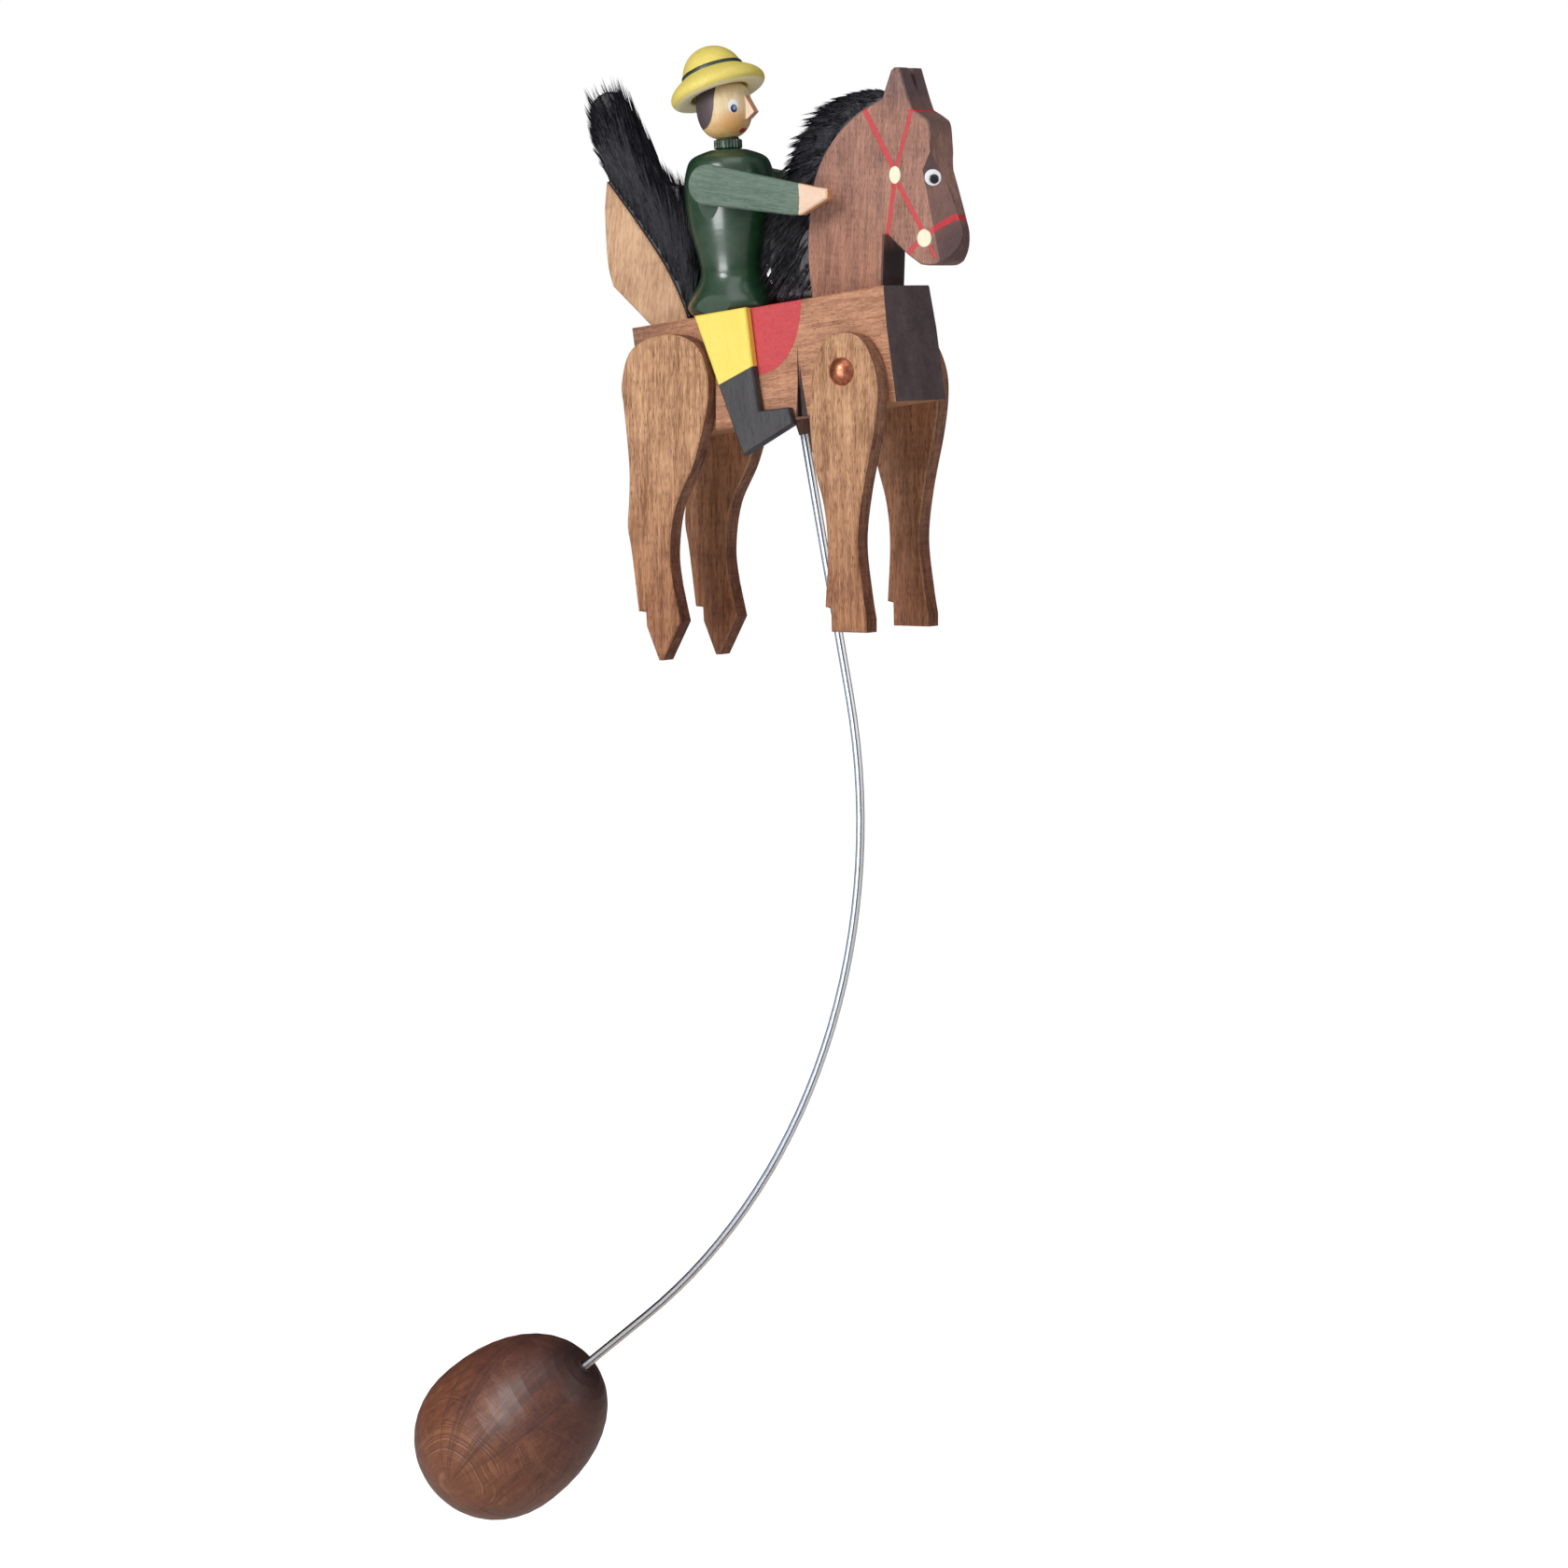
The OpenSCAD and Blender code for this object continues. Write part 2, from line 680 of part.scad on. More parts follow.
module pendulum_wire() {
    color(steel)
        translate([bend_centre[0], 0, bend_centre[1]])
            rotate([0, -wire_end_lean, 0]) {
                rotate([90, 0, 0])
                    rotate_extrude(angle = wire_bend_angle, $fn = 180)
                        translate([wire_bend_r, 0])
                            circle(d = wire_d, $fn = 32);
                translate([wire_bend_r, 0, run_lap])
                    rotate([0, 180, 0])
                        cylinder(d = run_d, h = wire_lower_l + ball_grip + run_lap);
                rotate([0, -wire_bend_angle, 0])
                    translate([wire_bend_r, 0, -run_lap])
                        cylinder(d = run_d, h = wire_upper_l + wire_grip + run_lap);
            }
}

// Small tapered collar round the wire, trimmed to the belly
module wire_collar() {
    color(dark_stain)
        difference() {
            translate([wire_exit[0], 0, wire_exit[1]])
                rotate([0, 180 - wire_lean, 0])
                    translate([0, 0, -wire_d])
                        cylinder(d1 = 2.1 * wire_d, d2 = 1.25 * wire_d, h = 2.8 * wire_d);
            trunk_solid();
            bar(wire_exit - wire_grip * [sin(wire_lean), -cos(wire_lean)], wire_lean,
                wire_d + 2 * glue_fit, wire_grip + 10 * wire_d);
        }
}

module counterweight() {
    r = ball_d / 2;
    steps = 12;
    fullness = 0.92;
    color(dark_stain)
        translate([ball_top[0], 0, ball_top[1]])
            rotate([0, 180 - wire_end_lean, 0])
                difference() {
                    rotate_extrude($fn = 96)
                        polygon(concat(
                            [for (k = [0 : steps])
                                let (a = 90 * k / steps)
                                    [r * pow(sin(a), fullness), ball_neck_l * (1 - pow(cos(a), fullness))]],
                            [for (k = [1 : steps])
                                let (a = 90 * k / steps)
                                    [r * pow(cos(a), fullness),
                                        ball_neck_l + ball_base_l * pow(sin(a), fullness)]]));
                    translate([0, 0, -wire_d])
                        cylinder(d = wire_d + 2 * glue_fit, h = wire_d + ball_grip + glue_fit);
                }
}

// Rider: everything on the turned body's own axis, z up from the back
module on_rider() {
    translate([rider_foot[0], 0, rider_foot[1]])
        rotate([0, -rider_lean, 0])
            children();
}

function torso_profile(grow) =
    let (h = torso_h, c = chest_d / 2, w = waist_d / 2, s = skirt_d / 2)
        [for (p = spline([
            [0.86 * s, -0.02 * h], [0.965 * s, 0.02 * h], [s, 0.055 * h], [0.93 * s, 0.11 * h],
            [1.08 * w, 0.2 * h], [w, 0.26 * h], [1.07 * w, 0.355 * h], [0.93 * c, 0.55 * h],
            [c, 0.76 * h], [0.94 * c, 0.885 * h], [0.8 * c, 0.957 * h], [0.42 * c, h],
            [0.9 * collar_d / 2, h + 0.02 * collar_h]]))
            [p[0] + grow, p[1]]];

module torso_body(grow) {
    rotate_extrude()
        polygon(concat(
            [[0, -torso_h / 4], [0.8 * skirt_d / 2 + grow, -torso_h / 4]],
            torso_profile(grow),
            [[0, torso_h]]));
}

// Room that soft parts leave round the rider's body
module torso_room() {
    on_rider()
        torso_body(2 * soft_gap);
}

module rider_torso() {
    color(coat_green)
        difference() {
            on_rider() {
                torso_body(0);
                translate([0, 0, torso_h])
                    rotate_extrude()
                        polygon([
                            [0, -0.2], [0.82 * collar_d / 2, -0.2], [0.95 * collar_d / 2, 0.2 * collar_h],
                            [collar_d / 2, 0.5 * collar_h], [0.95 * collar_d / 2, 0.8 * collar_h],
                            [0.75 * collar_d / 2, 1.25 * collar_h], [0, 1.25 * collar_h]]);
            }
            both_sides()
                translate([-trunk_l, -arm_span / 2 - trunk_l, 0])
                    cube([3 * trunk_l, trunk_l, 4 * trunk_l]);
            below_back();
            head_room();
            torso_pin(glue_fit);
            neck_pin(glue_fit);
        }
}

module torso_pin(fit) {
    back_pin(rider_from_rump, dowel_d, dowel_depth, dowel_depth, fit);
}

module torso_dowel() {
    color(bare_wood)
        torso_pin(0);
}

// Head: placed over the collar and leaned back on it
module on_head() {
    on_rider()
        translate([0, 0, torso_h + collar_h])
            rotate([0, rider_lean - head_lean, 0])
                translate([0, 0, chin_h])
                    children();
}

module head_body(grow) {
    r = head_d / 2 + grow;
    steps = 10;
    fullness = 2 / 2.5;
    rotate_extrude()
        polygon(concat(
            [for (k = [0 : steps])
                let (a = 90 * k / steps)
                    [r * pow(sin(a), fullness), -(chin_h + grow) * pow(cos(a), fullness)]],
            [for (k = [1 : steps])
                let (a = 90 * k / steps)
                    [r * pow(cos(a), fullness), (head_top_h + grow) * pow(sin(a), fullness)]]));
}

module head_room() {
    on_head()
        head_body(glue_fit);
}

module neck_pin(fit) {
    on_rider()
        translate([0, 0, torso_h - 7 - fit])
            cylinder(d = head_dowel_d + 2 * fit, h = collar_h + 11.5 + 2 * fit);
}

module head_dowel() {
    color(bare_wood)
        neck_pin(0);
}

module rider_head() {
    color(skin_wood)
        difference() {
            on_head()
                head_body(0);
            neck_pin(glue_fit);
        }
}

module rider_nose() {
    r = head_d / 2;
    color(skin_wood)
        difference() {
            on_head()
                slab([[0.6 * r, 0.22 * r], [r, 0.22 * r], [r + nose_l, -0.42 * r],
                    [r + 0.1, -0.62 * r], [0.6 * r, -0.62 * r]], 0.34 * r);
            head_room();
        }
}

// Hat: set on the head and tipped back
module hat() {
    b = brim_d / 2;
    c = crown_d / 2;
    dome = crown_h - c;
    color(hat_yellow)
        difference() {
            on_head()
                translate([-0.056 * head_d, 0, 0.315 * head_d])
                    rotate([0, head_lean - hat_tilt, 0])
                        rotate_extrude()
                            polygon(concat(
                                [[0, -brim_t], [0.86 * b, -brim_t], [0.94 * b, -0.82 * brim_t],
                                    [0.985 * b, -0.42 * brim_t], [b, 0], [0.985 * b, 0.3 * brim_t],
                                    [0.9 * b, 0.2 * crown_h], [0.76 * b, 0.31 * crown_h],
                                    [c + 0.35, 0.4 * crown_h], [c, 0.43 * crown_h], [c - 0.15, 0.45 * crown_h],
                                    [c - 0.2, 0.5 * crown_h]],
                                [for (k = [3 : 12])
                                    let (a = 90 * k / 12)
                                        [c * cos(a), dome + c * sin(a)]]));
            head_room();
            nose_room();
        }
}

// The brim clears the nose
module nose_room() {
    on_head()
        translate([head_d / 2 - 1, -0.4 * head_d / 2, -head_d])
            cube([nose_l + 2, 0.8 * head_d / 2, head_d + 0.24 * head_d / 2]);
}

// Arms: flat boards glued to the flats on the chest
module arm() {
    s = arm_w / 2;
    outline = concat(
        [for (k = [0 : 12])
            let (a = 80 + 184 * k / 12)
                s * [cos(a), sin(a)]],
        [[0.72 * arm_l, -1.52 * s], [0.79 * arm_l, -1.5 * s], [arm_l, -0.7 * s],
            [arm_l, -0.24 * s], [0.9 * arm_l, -0.14 * s], [0.775 * arm_l, 0.03 * s]]);
    on_rider()
        translate([0.8, -arm_span / 2 - arm_t, torso_h - 8.3])
            rotate([0, rider_lean, 0])
                board(outline, arm_t);
}

module right_arm() {
    color(sleeve_green)
        arm();
}

module left_arm() {
    color(sleeve_green)
        mirror([0, 1, 0])
            arm();
}

// Rider's legs: flat boards glued to the flared sides of the body block
module rider_leg() {
    l = rider_leg_l;
    rear_x = rider_from_rump - 3.4;
    outline = [
        [rear_x + 0.3 * l, -l], [rear_x + 0.707 * l, -0.84 * l], [rear_x + 0.68 * l, -0.722 * l],
        [rear_x + 0.455 * l, -0.716 * l], [rear_x + 0.43 * l, -0.426 * l],
        [rear_x + 0.41 * l, -0.001 * l], [rear_x, -0.001 * l]];
    on_trunk()
        translate([0, -trunk_top_w / 2, 0])
            rotate([-trunk_flare, 0, 0])
                translate([0, -rider_leg_t, 0])
                    board(outline, rider_leg_t);
}

module right_rider_leg() {
    color(trouser_yellow)
        rider_leg();
}

module left_rider_leg() {
    color(trouser_yellow)
        mirror([0, 1, 0])
            rider_leg();
}

module hip_dowel() {
    color(bare_wood)
        hip_pin(0);
}

trunk_block();
neck_head();
tail_board();
mane_hide();
mane_fur();
tail_hide();
tail_fur();
right_rear_leg();
left_rear_leg();
right_front_leg();
left_front_leg();
right_leg_nail();
left_leg_nail();
pendulum_wire();
wire_collar();
counterweight();
rider_torso();
rider_head();
rider_nose();
hat();
right_arm();
left_arm();
right_rider_leg();
left_rider_leg();
neck_dowels();
tail_dowel();
hip_dowel();
torso_dowel();
head_dowel();
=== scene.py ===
# %% [markdown]
# # A balancing rider in painted wood
#
# The toy is a sawn wooden horse with a turned rider. It stands on the tips of its rear
# hooves, and a bent wire carries a heavy wooden ball far below them, so it rocks and never
# falls. The solid parts come ready made from the CAD frame. This file gives them stained and
# painted wood, steel and copper, and it makes what a solid can't show: hair, painted
# harness, eyes and the small turned details.

# %% Load the frame
import math
import bpy
import numpy as np
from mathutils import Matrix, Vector
from mathutils.bvhtree import BVHTree


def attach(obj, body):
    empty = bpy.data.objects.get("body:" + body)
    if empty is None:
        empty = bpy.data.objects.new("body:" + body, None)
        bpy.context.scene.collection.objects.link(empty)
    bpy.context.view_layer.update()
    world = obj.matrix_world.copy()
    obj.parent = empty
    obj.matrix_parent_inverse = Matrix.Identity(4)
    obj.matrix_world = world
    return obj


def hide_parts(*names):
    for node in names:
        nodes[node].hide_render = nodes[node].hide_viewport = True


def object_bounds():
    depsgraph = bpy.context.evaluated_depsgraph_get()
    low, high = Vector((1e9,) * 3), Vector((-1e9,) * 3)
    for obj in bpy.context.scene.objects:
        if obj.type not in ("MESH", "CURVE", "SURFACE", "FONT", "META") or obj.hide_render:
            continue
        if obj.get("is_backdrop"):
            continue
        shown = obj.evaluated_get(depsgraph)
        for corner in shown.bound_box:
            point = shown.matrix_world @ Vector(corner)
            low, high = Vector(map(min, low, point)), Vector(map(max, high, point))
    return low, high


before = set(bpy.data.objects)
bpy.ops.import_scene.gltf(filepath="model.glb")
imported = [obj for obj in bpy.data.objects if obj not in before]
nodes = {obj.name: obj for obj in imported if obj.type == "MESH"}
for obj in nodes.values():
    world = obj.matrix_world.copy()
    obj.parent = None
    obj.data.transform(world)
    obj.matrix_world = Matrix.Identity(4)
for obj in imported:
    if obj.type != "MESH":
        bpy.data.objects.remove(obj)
cad_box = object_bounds()
mm = 0.001
put_in_scene = bpy.context.scene.collection.objects.link
print("pieces from the frame:", len(nodes))
print("height in mm:", round((cad_box[1].z - cad_box[0].z) / mm, 1))

# %% [markdown]
# ## Camera
#
# The photograph was taken from the front right with a long lens, a little above the back of
# the horse. A long lens far away keeps the upright edges parallel, which is how catalogue
# pictures of toys are made. The lens length follows from the picture's width in pixels and
# its focal length in pixels.

# %% Camera
photo_width = 1680
focal_in_pixels = 6850
camera_turn = 30
camera_tilt = 4.66
camera_place = Vector((778.2, -1305.4, 93.5))
camera_data = bpy.data.cameras.new("camera")
camera_data.sensor_width = 36
camera_data.lens = camera_data.sensor_width * focal_in_pixels / photo_width
camera_data.clip_start = 0.05
camera = bpy.data.objects.new("camera", camera_data)
camera.location = camera_place * mm
camera.rotation_euler = (math.radians(90 - camera_tilt), 0, math.radians(camera_turn))
put_in_scene(camera)
bpy.context.scene.camera = camera
print("lens in mm:", round(camera_data.lens, 1))

# %% [markdown]
# ## Helpers for shader nodes
#
# Every finish is a small network of shader nodes. Wiring each node by hand takes several
# lines, so a few helpers do it in one: add places a node and wires its inputs, and the
# others use it for a sum.

# %% Nodes and sums
def add(tree, kind, inputs=None, **settings):
    """Adds a node; each input is a value or another node's output, by socket name or number."""
    made = tree.nodes.new(kind)
    for name, value in settings.items():
        setattr(made, name, value)
    for name, value in (inputs or {}).items():
        if isinstance(value, bpy.types.NodeSocket):
            tree.links.new(value, made.inputs[name])
        else:
            made.inputs[name].default_value = value
    return made


def calc(tree, operation, a, b=0.0, c=0.0, clamp=False):
    """One step of arithmetic on numbers."""
    return add(tree, "ShaderNodeMath", {0: a, 1: b, 2: c}, operation=operation,
               use_clamp=clamp).outputs[0]


def product(tree, a, b):
    """Two numbers multiplied, which for masks is what they have in common."""
    return calc(tree, "MULTIPLY", a, b)


def both(tree, a, b):
    """The larger of two numbers, which for masks is one laid over the other."""
    return calc(tree, "MAXIMUM", a, b)


print("helpers for sums ready")

# %% [markdown]
# ## Sums with places, and smooth steps
#
# A place or a direction is three numbers that are reckoned with together. And most masks are
# a smooth step: nothing up to one value, everything from another, and a soft change between,
# because no edge of paint or stain is perfectly sharp.

# %% Places and smooth steps
def vector_calc(tree, operation, a, b=(0, 0, 0)):
    """One step of arithmetic on places or directions."""
    made = add(tree, "ShaderNodeVectorMath", {0: a, 1: b}, operation=operation)
    gives_number = operation in ("DOT_PRODUCT", "DISTANCE", "LENGTH")
    return made.outputs["Value" if gives_number else "Vector"]


def scaled(tree, place, times):
    """A place times a number; what is laid on it gets that many times finer."""
    return add(tree, "ShaderNodeVectorMath", {0: place, 3: times}, operation="SCALE").outputs[0]


def split(tree, place):
    """The three numbers of a place."""
    return add(tree, "ShaderNodeSeparateXYZ", {0: place}).outputs


def ramp(tree, value, low, high, out_low=0.0, out_high=1.0):
    """Goes smoothly from out_low to out_high while value goes from low to high."""
    return add(tree, "ShaderNodeMapRange", {0: value, 1: low, 2: high, 3: out_low, 4: out_high},
               interpolation_type="SMOOTHSTEP").outputs[0]


print("helpers for places ready")

# %% [markdown]
# ## Colours and noise
#
# A paint chart gives a colour as three numbers from 0 to 255, spaced as the eye sees them.
# Shaders count light, so one helper converts. Nothing made by hand is even, and a noise
# texture gives each finish its small unevenness: it is taken around its middle, so that it
# moves a value up as often as down.

# %% Colours and noise
def rgb(red, green, blue):
    """A colour given as on a paint chart, 0 to 255, in the linear light that shaders use."""
    def linear(value):
        value /= 255
        return value / 12.92 if value <= 0.04045 else ((value + 0.055) / 1.055) ** 2.4
    return (linear(red), linear(green), linear(blue), 1.0)


def mix(tree, share, a, b, blend="MIX"):
    """Mixes two colours."""
    return add(tree, "ShaderNodeMix", {0: share, 6: a, 7: b}, data_type="RGBA",
               blend_type=blend).outputs[2]


def tint(tree, share, colour, stain):
    """Lays a clear stain over a colour, which can only darken it."""
    return mix(tree, share, colour, mix(tree, 1.0, colour, stain, "MULTIPLY"))


def noise(tree, vector, scale=1.0, detail=2.0, roughness=0.5, distortion=0.0):
    """A noise value around one half."""
    return add(tree, "ShaderNodeTexNoise", {
        "Vector": vector, "Scale": scale, "Detail": detail, "Roughness": roughness,
        "Distortion": distortion}).outputs["Fac"]


def nudged(tree, value, by, depth):
    """Moves a value up and down by a noise, taken around its middle."""
    return calc(tree, "MULTIPLY_ADD", calc(tree, "SUBTRACT", by, 0.5), depth, value)


print("a middle grey of 128 is", round(rgb(128, 128, 128)[0], 3), "in linear light")

# %% [markdown]
# ## Node groups
#
# Wood grain and brush marks are used on many parts. Each is built once as a node group with
# named sockets, as a jig is built once in a workshop, and every material places it with
# values of its own. A change in the group then reaches all of them.

# %% Node groups
def new_group(name, inputs, outputs):
    """An empty shader node group with named sockets; returns the tree and its two ends."""
    tree = bpy.data.node_groups.new(name, "ShaderNodeTree")
    kinds = {"colour": "NodeSocketColor", "value": "NodeSocketFloat", "vector": "NodeSocketVector"}
    for way, sockets in (("INPUT", inputs), ("OUTPUT", outputs)):
        for label, kind in sockets.items():
            tree.interface.new_socket(label, in_out=way, socket_type=kinds[kind])
    given = tree.nodes.new("NodeGroupInput").outputs
    result = tree.nodes.new("NodeGroupOutput").inputs
    return tree, given, result


def place_group(tree, group, **inputs):
    """Places a node group in a material, with a value or a link for each named socket."""
    return add(tree, "ShaderNodeGroup", inputs, node_tree=group).outputs


print("helpers for groups ready")

# %% [markdown]
# ## Places on a part
#
# Wood grain runs along a board or a turned piece, so each material needs its own axes: X
# along the grain, in millimetres. They are made from the object's own coordinates, which
# stay with the piece when its joint moves. The direction that a surface faces is read in the
# same axes, and tells a planed side from a sawn edge.

# %% Axes of a part
def part_axes(tree, along, origin=(0, 0, 0)):
    """Object coordinates in millimetres, turned so that X runs along the given direction."""
    along = Vector(along).normalized()
    side = Vector((0, 1, 0)) if abs(along.y) < 0.9 else Vector((1, 0, 0))
    up = along.cross(side).normalized()
    side = up.cross(along)
    place = add(tree, "ShaderNodeTexCoord").outputs["Object"]
    place = scaled(tree, vector_calc(tree, "SUBTRACT", place, Vector(origin) * mm), 1 / mm)
    parts = [vector_calc(tree, "DOT_PRODUCT", place, axis) for axis in (along, side, up)]
    return add(tree, "ShaderNodeCombineXYZ", dict(enumerate(parts))).outputs[0]


def own_place(tree):
    """The plain object coordinates in millimetres."""
    return scaled(tree, add(tree, "ShaderNodeTexCoord").outputs["Object"], 1 / mm)


def facing(tree, direction):
    """How squarely the surface faces a direction, from -1 to 1, in the object's own axes."""
    normal = add(tree, "ShaderNodeTexCoord").outputs["Normal"]
    return vector_calc(tree, "DOT_PRODUCT", normal, Vector(direction).normalized())


def sideways(tree):
    """How squarely the surface faces either side of the toy, from 0 to 1."""
    return calc(tree, "ABSOLUTE", facing(tree, (0, 1, 0)))


trunk_pitch = math.radians(8.5)
along_trunk = (math.cos(trunk_pitch), 0, math.sin(trunk_pitch))
print("grain of the body runs along", [round(c, 3) for c in along_trunk])

# %% [markdown]
# ## Wood grain
#
# The toy is made of a fine, even wood. Up close its stained sides show three things: soft
# streaks along the grain, short dark pores a fraction of a millimetre wide, and slow
# cloudy patches where the stain soaked in unevenly. One node group makes all three, and
# each part places it with its own colours. An image of wood would look as good from one
# side, but noise in the part's own axes runs through every face without a seam.

# %% The wood grain group
def make_wood_grain():
    tree, given, result = new_group(
        "wood grain",
        {"Place": "vector", "Pale": "colour", "Dark": "colour", "Pore": "colour",
         "Contrast": "value", "Pores": "value", "Clouds": "value"},
        {"Color": "colour", "Height": "value"})

    def stretched(along, across):
        """The place with so many marks to a millimetre along the grain and across it."""
        return vector_calc(tree, "MULTIPLY", given["Place"], (along, across, across))

    fibres = noise(tree, stretched(0.34, 3.2), detail=3, roughness=0.65)
    streaks = noise(tree, stretched(0.06, 1.0), detail=3, roughness=0.6)
    bands = noise(tree, stretched(0.022, 0.3), detail=2, distortion=0.35)
    clouds = noise(tree, given["Place"], scale=0.12, detail=3, roughness=0.6)
    tone = nudged(tree, 0.5, streaks, given["Contrast"])
    tone = nudged(tree, tone, fibres, product(tree, given["Contrast"], 1.25))
    tone = nudged(tree, tone, bands, 0.9)
    tone = calc(tree, "ADD", nudged(tree, tone, clouds, given["Clouds"]), 0.0, clamp=True)
    cells = add(tree, "ShaderNodeTexVoronoi", {"Vector": stretched(0.5, 3.3), "Scale": 1.0})
    cell_number = add(tree, "ShaderNodeSeparateColor", {0: cells.outputs["Color"]}).outputs[0]
    near_middle = ramp(tree, cells.outputs["Distance"], 0.4, 0.1)
    open_pore = product(tree, near_middle, ramp(tree, cell_number, 0.4, 0.75))
    pore = calc(tree, "MULTIPLY", open_pore, given["Pores"], clamp=True)
    colour = mix(tree, tone, given["Dark"], given["Pale"])
    tree.links.new(mix(tree, pore, colour, given["Pore"]), result["Color"])
    tree.links.new(calc(tree, "SUBTRACT", fibres, pore), result["Height"])
    return tree


wood_grain = make_wood_grain()


def grained(tree, place, pale, dark, pore, contrast, pores, clouds):
    """Places the wood grain; its three colours are given as on a paint chart."""
    return place_group(tree, wood_grain, Place=place, Pale=rgb(*pale), Dark=rgb(*dark),
                       Pore=rgb(*pore), Contrast=contrast, Pores=pores, Clouds=clouds)


print("wood grain group has", len(wood_grain.nodes), "nodes")

# %% [markdown]
# ## Brush marks
#
# The harness and the faces are brushed on by hand. Each mark is a mask worked out from the
# place on the part, and a stroke is everything near a line. A little noise on the distance
# gives the edge of the brush its slight waver. Strokes are laid over the side view, so both
# sides of the horse get them.

# %% The stroke group
def wavered(tree, distance, place, depth, scale, detail=1):
    """A distance with the waver of a brush's edge."""
    return nudged(tree, distance, noise(tree, place, scale=scale, detail=detail), depth)


def make_stroke():
    tree, given, result = new_group(
        "brush stroke", {"Place": "vector", "From": "vector", "To": "vector", "Width": "value"},
        {"Mask": "value"})

    def flat(place):
        """The same place as seen from the side."""
        return vector_calc(tree, "MULTIPLY", place, (1, 0, 1))

    start = flat(given["From"])
    reach = vector_calc(tree, "SUBTRACT", flat(given["Place"]), start)
    line = vector_calc(tree, "SUBTRACT", flat(given["To"]), start)
    part = calc(tree, "DIVIDE", vector_calc(tree, "DOT_PRODUCT", reach, line),
                vector_calc(tree, "DOT_PRODUCT", line, line), clamp=True)
    gap = vector_calc(tree, "DISTANCE", reach, scaled(tree, line, part))
    gap = wavered(tree, gap, given["Place"], 0.22, scale=0.9)
    past_edge = calc(tree, "SUBTRACT", gap, product(tree, given["Width"], 0.5))
    tree.links.new(ramp(tree, past_edge, 0.07, -0.07), result["Mask"])
    return tree


stroke_group = make_stroke()


def stroke(tree, place, start, end, width):
    """A stroke between two side-view places [x, z], in millimetres."""
    return place_group(tree, stroke_group, Place=place, From=(start[0], 0, start[1]),
                       To=(end[0], 0, end[1]), Width=width)["Mask"]


print("stroke group has", len(stroke_group.nodes), "nodes")

# %% [markdown]
# ## Dabs
#
# A dab is everything inside an ellipse. Divided by the radii, the way from the centre turns
# the ellipse into a ball of radius one, so a single length decides. Where one radius is very
# large, the dab goes right through the part and shows on both sides.

# %% The dab group
def make_dab():
    tree, given, result = new_group(
        "brush dab", {"Place": "vector", "Centre": "vector", "Radii": "vector", "Softness": "value"},
        {"Mask": "value"})
    reach = vector_calc(tree, "SUBTRACT", given["Place"], given["Centre"])
    gap = vector_calc(tree, "LENGTH", vector_calc(tree, "DIVIDE", reach, given["Radii"]))
    gap = wavered(tree, gap, given["Place"], 0.1, scale=0.8)
    inner = calc(tree, "SUBTRACT", 1.0, given["Softness"])
    outer = calc(tree, "ADD", 1.0, given["Softness"])
    tree.links.new(ramp(tree, gap, outer, inner), result["Mask"])
    return tree


dab_group = make_dab()


def dab(tree, place, centre, radii, softness):
    """Everything inside an ellipse, in millimetres."""
    return place_group(tree, dab_group, Place=place, Centre=centre, Radii=radii,
                       Softness=softness)["Mask"]


def side_dab(tree, place, centre, radii, softness=0.06):
    """A dab laid over the side view, so that it goes right through the part."""
    through = 1000
    return dab(tree, place, (centre[0], 0, centre[1]), (radii[0], through, radii[1]), softness)


print("dab group has", len(dab_group.nodes), "nodes")

# %% [markdown]
# ## Finishing a material
#
# Each material ends in the same way: a Principled shader with its own roughness and coat, and
# a Bump node that turns the height of the grain or the paint into a normal. A number that is
# the same all over goes straight into the shader's socket.

# %% Material helpers
def new_material(name):
    material = bpy.data.materials.new(name)
    material.use_nodes = True
    material.node_tree.nodes.clear()
    return material, material.node_tree


def close_material(tree, colour, roughness, height=None, depth=0.05, **plain):
    """Adds the Principled shader, the bump and the output; plain holds unlinked numbers."""
    shader = add(tree, "ShaderNodeBsdfPrincipled", {"Base Color": colour, "Roughness": roughness})
    for name, value in plain.items():
        shader.inputs[name.replace("_", " ")].default_value = value
    if height is not None:
        bump = add(tree, "ShaderNodeBump", {"Height": height, "Distance": depth * mm,
                                            "Strength": 1.0})
        tree.links.new(bump.outputs[0], shader.inputs["Normal"])
    output = add(tree, "ShaderNodeOutputMaterial")
    tree.links.new(shader.outputs[0], output.inputs[0])


def finish_node(material, *names):
    """Gives CAD nodes this material."""
    for name in names:
        for place in nodes[name].material_slots:
            place.material = material


print("material helpers ready")

# %% [markdown]
# ## Stained legs and tail board
#
# The four legs and the tail board are sawn from the same light wood and dipped in a thin
# brown stain. Their grain runs upright. The sawn edges soak up more stain than the planed
# faces, so they are darker and redder, and the eased edges are a little paler, partly wear
# and partly a painted highlight. The stain also gathers a little in the hooves, and the inner
# faces of the legs are darkened as painted shade. A mask for each of these, made from the way
# the surface faces and from its height, blends the colours.

# %% Leg and tail board stain
def sawn_edge(tree, place, colour):
    """Fine lines left by the saw across the sawn edge of a board."""
    across = vector_calc(tree, "MULTIPLY", place, (2.4, 0.15, 0.9))
    lines = noise(tree, across, detail=2, roughness=0.6)
    return tint(tree, ramp(tree, lines, 0.35, 0.65, 0, 0.5), colour, rgb(196, 186, 182))


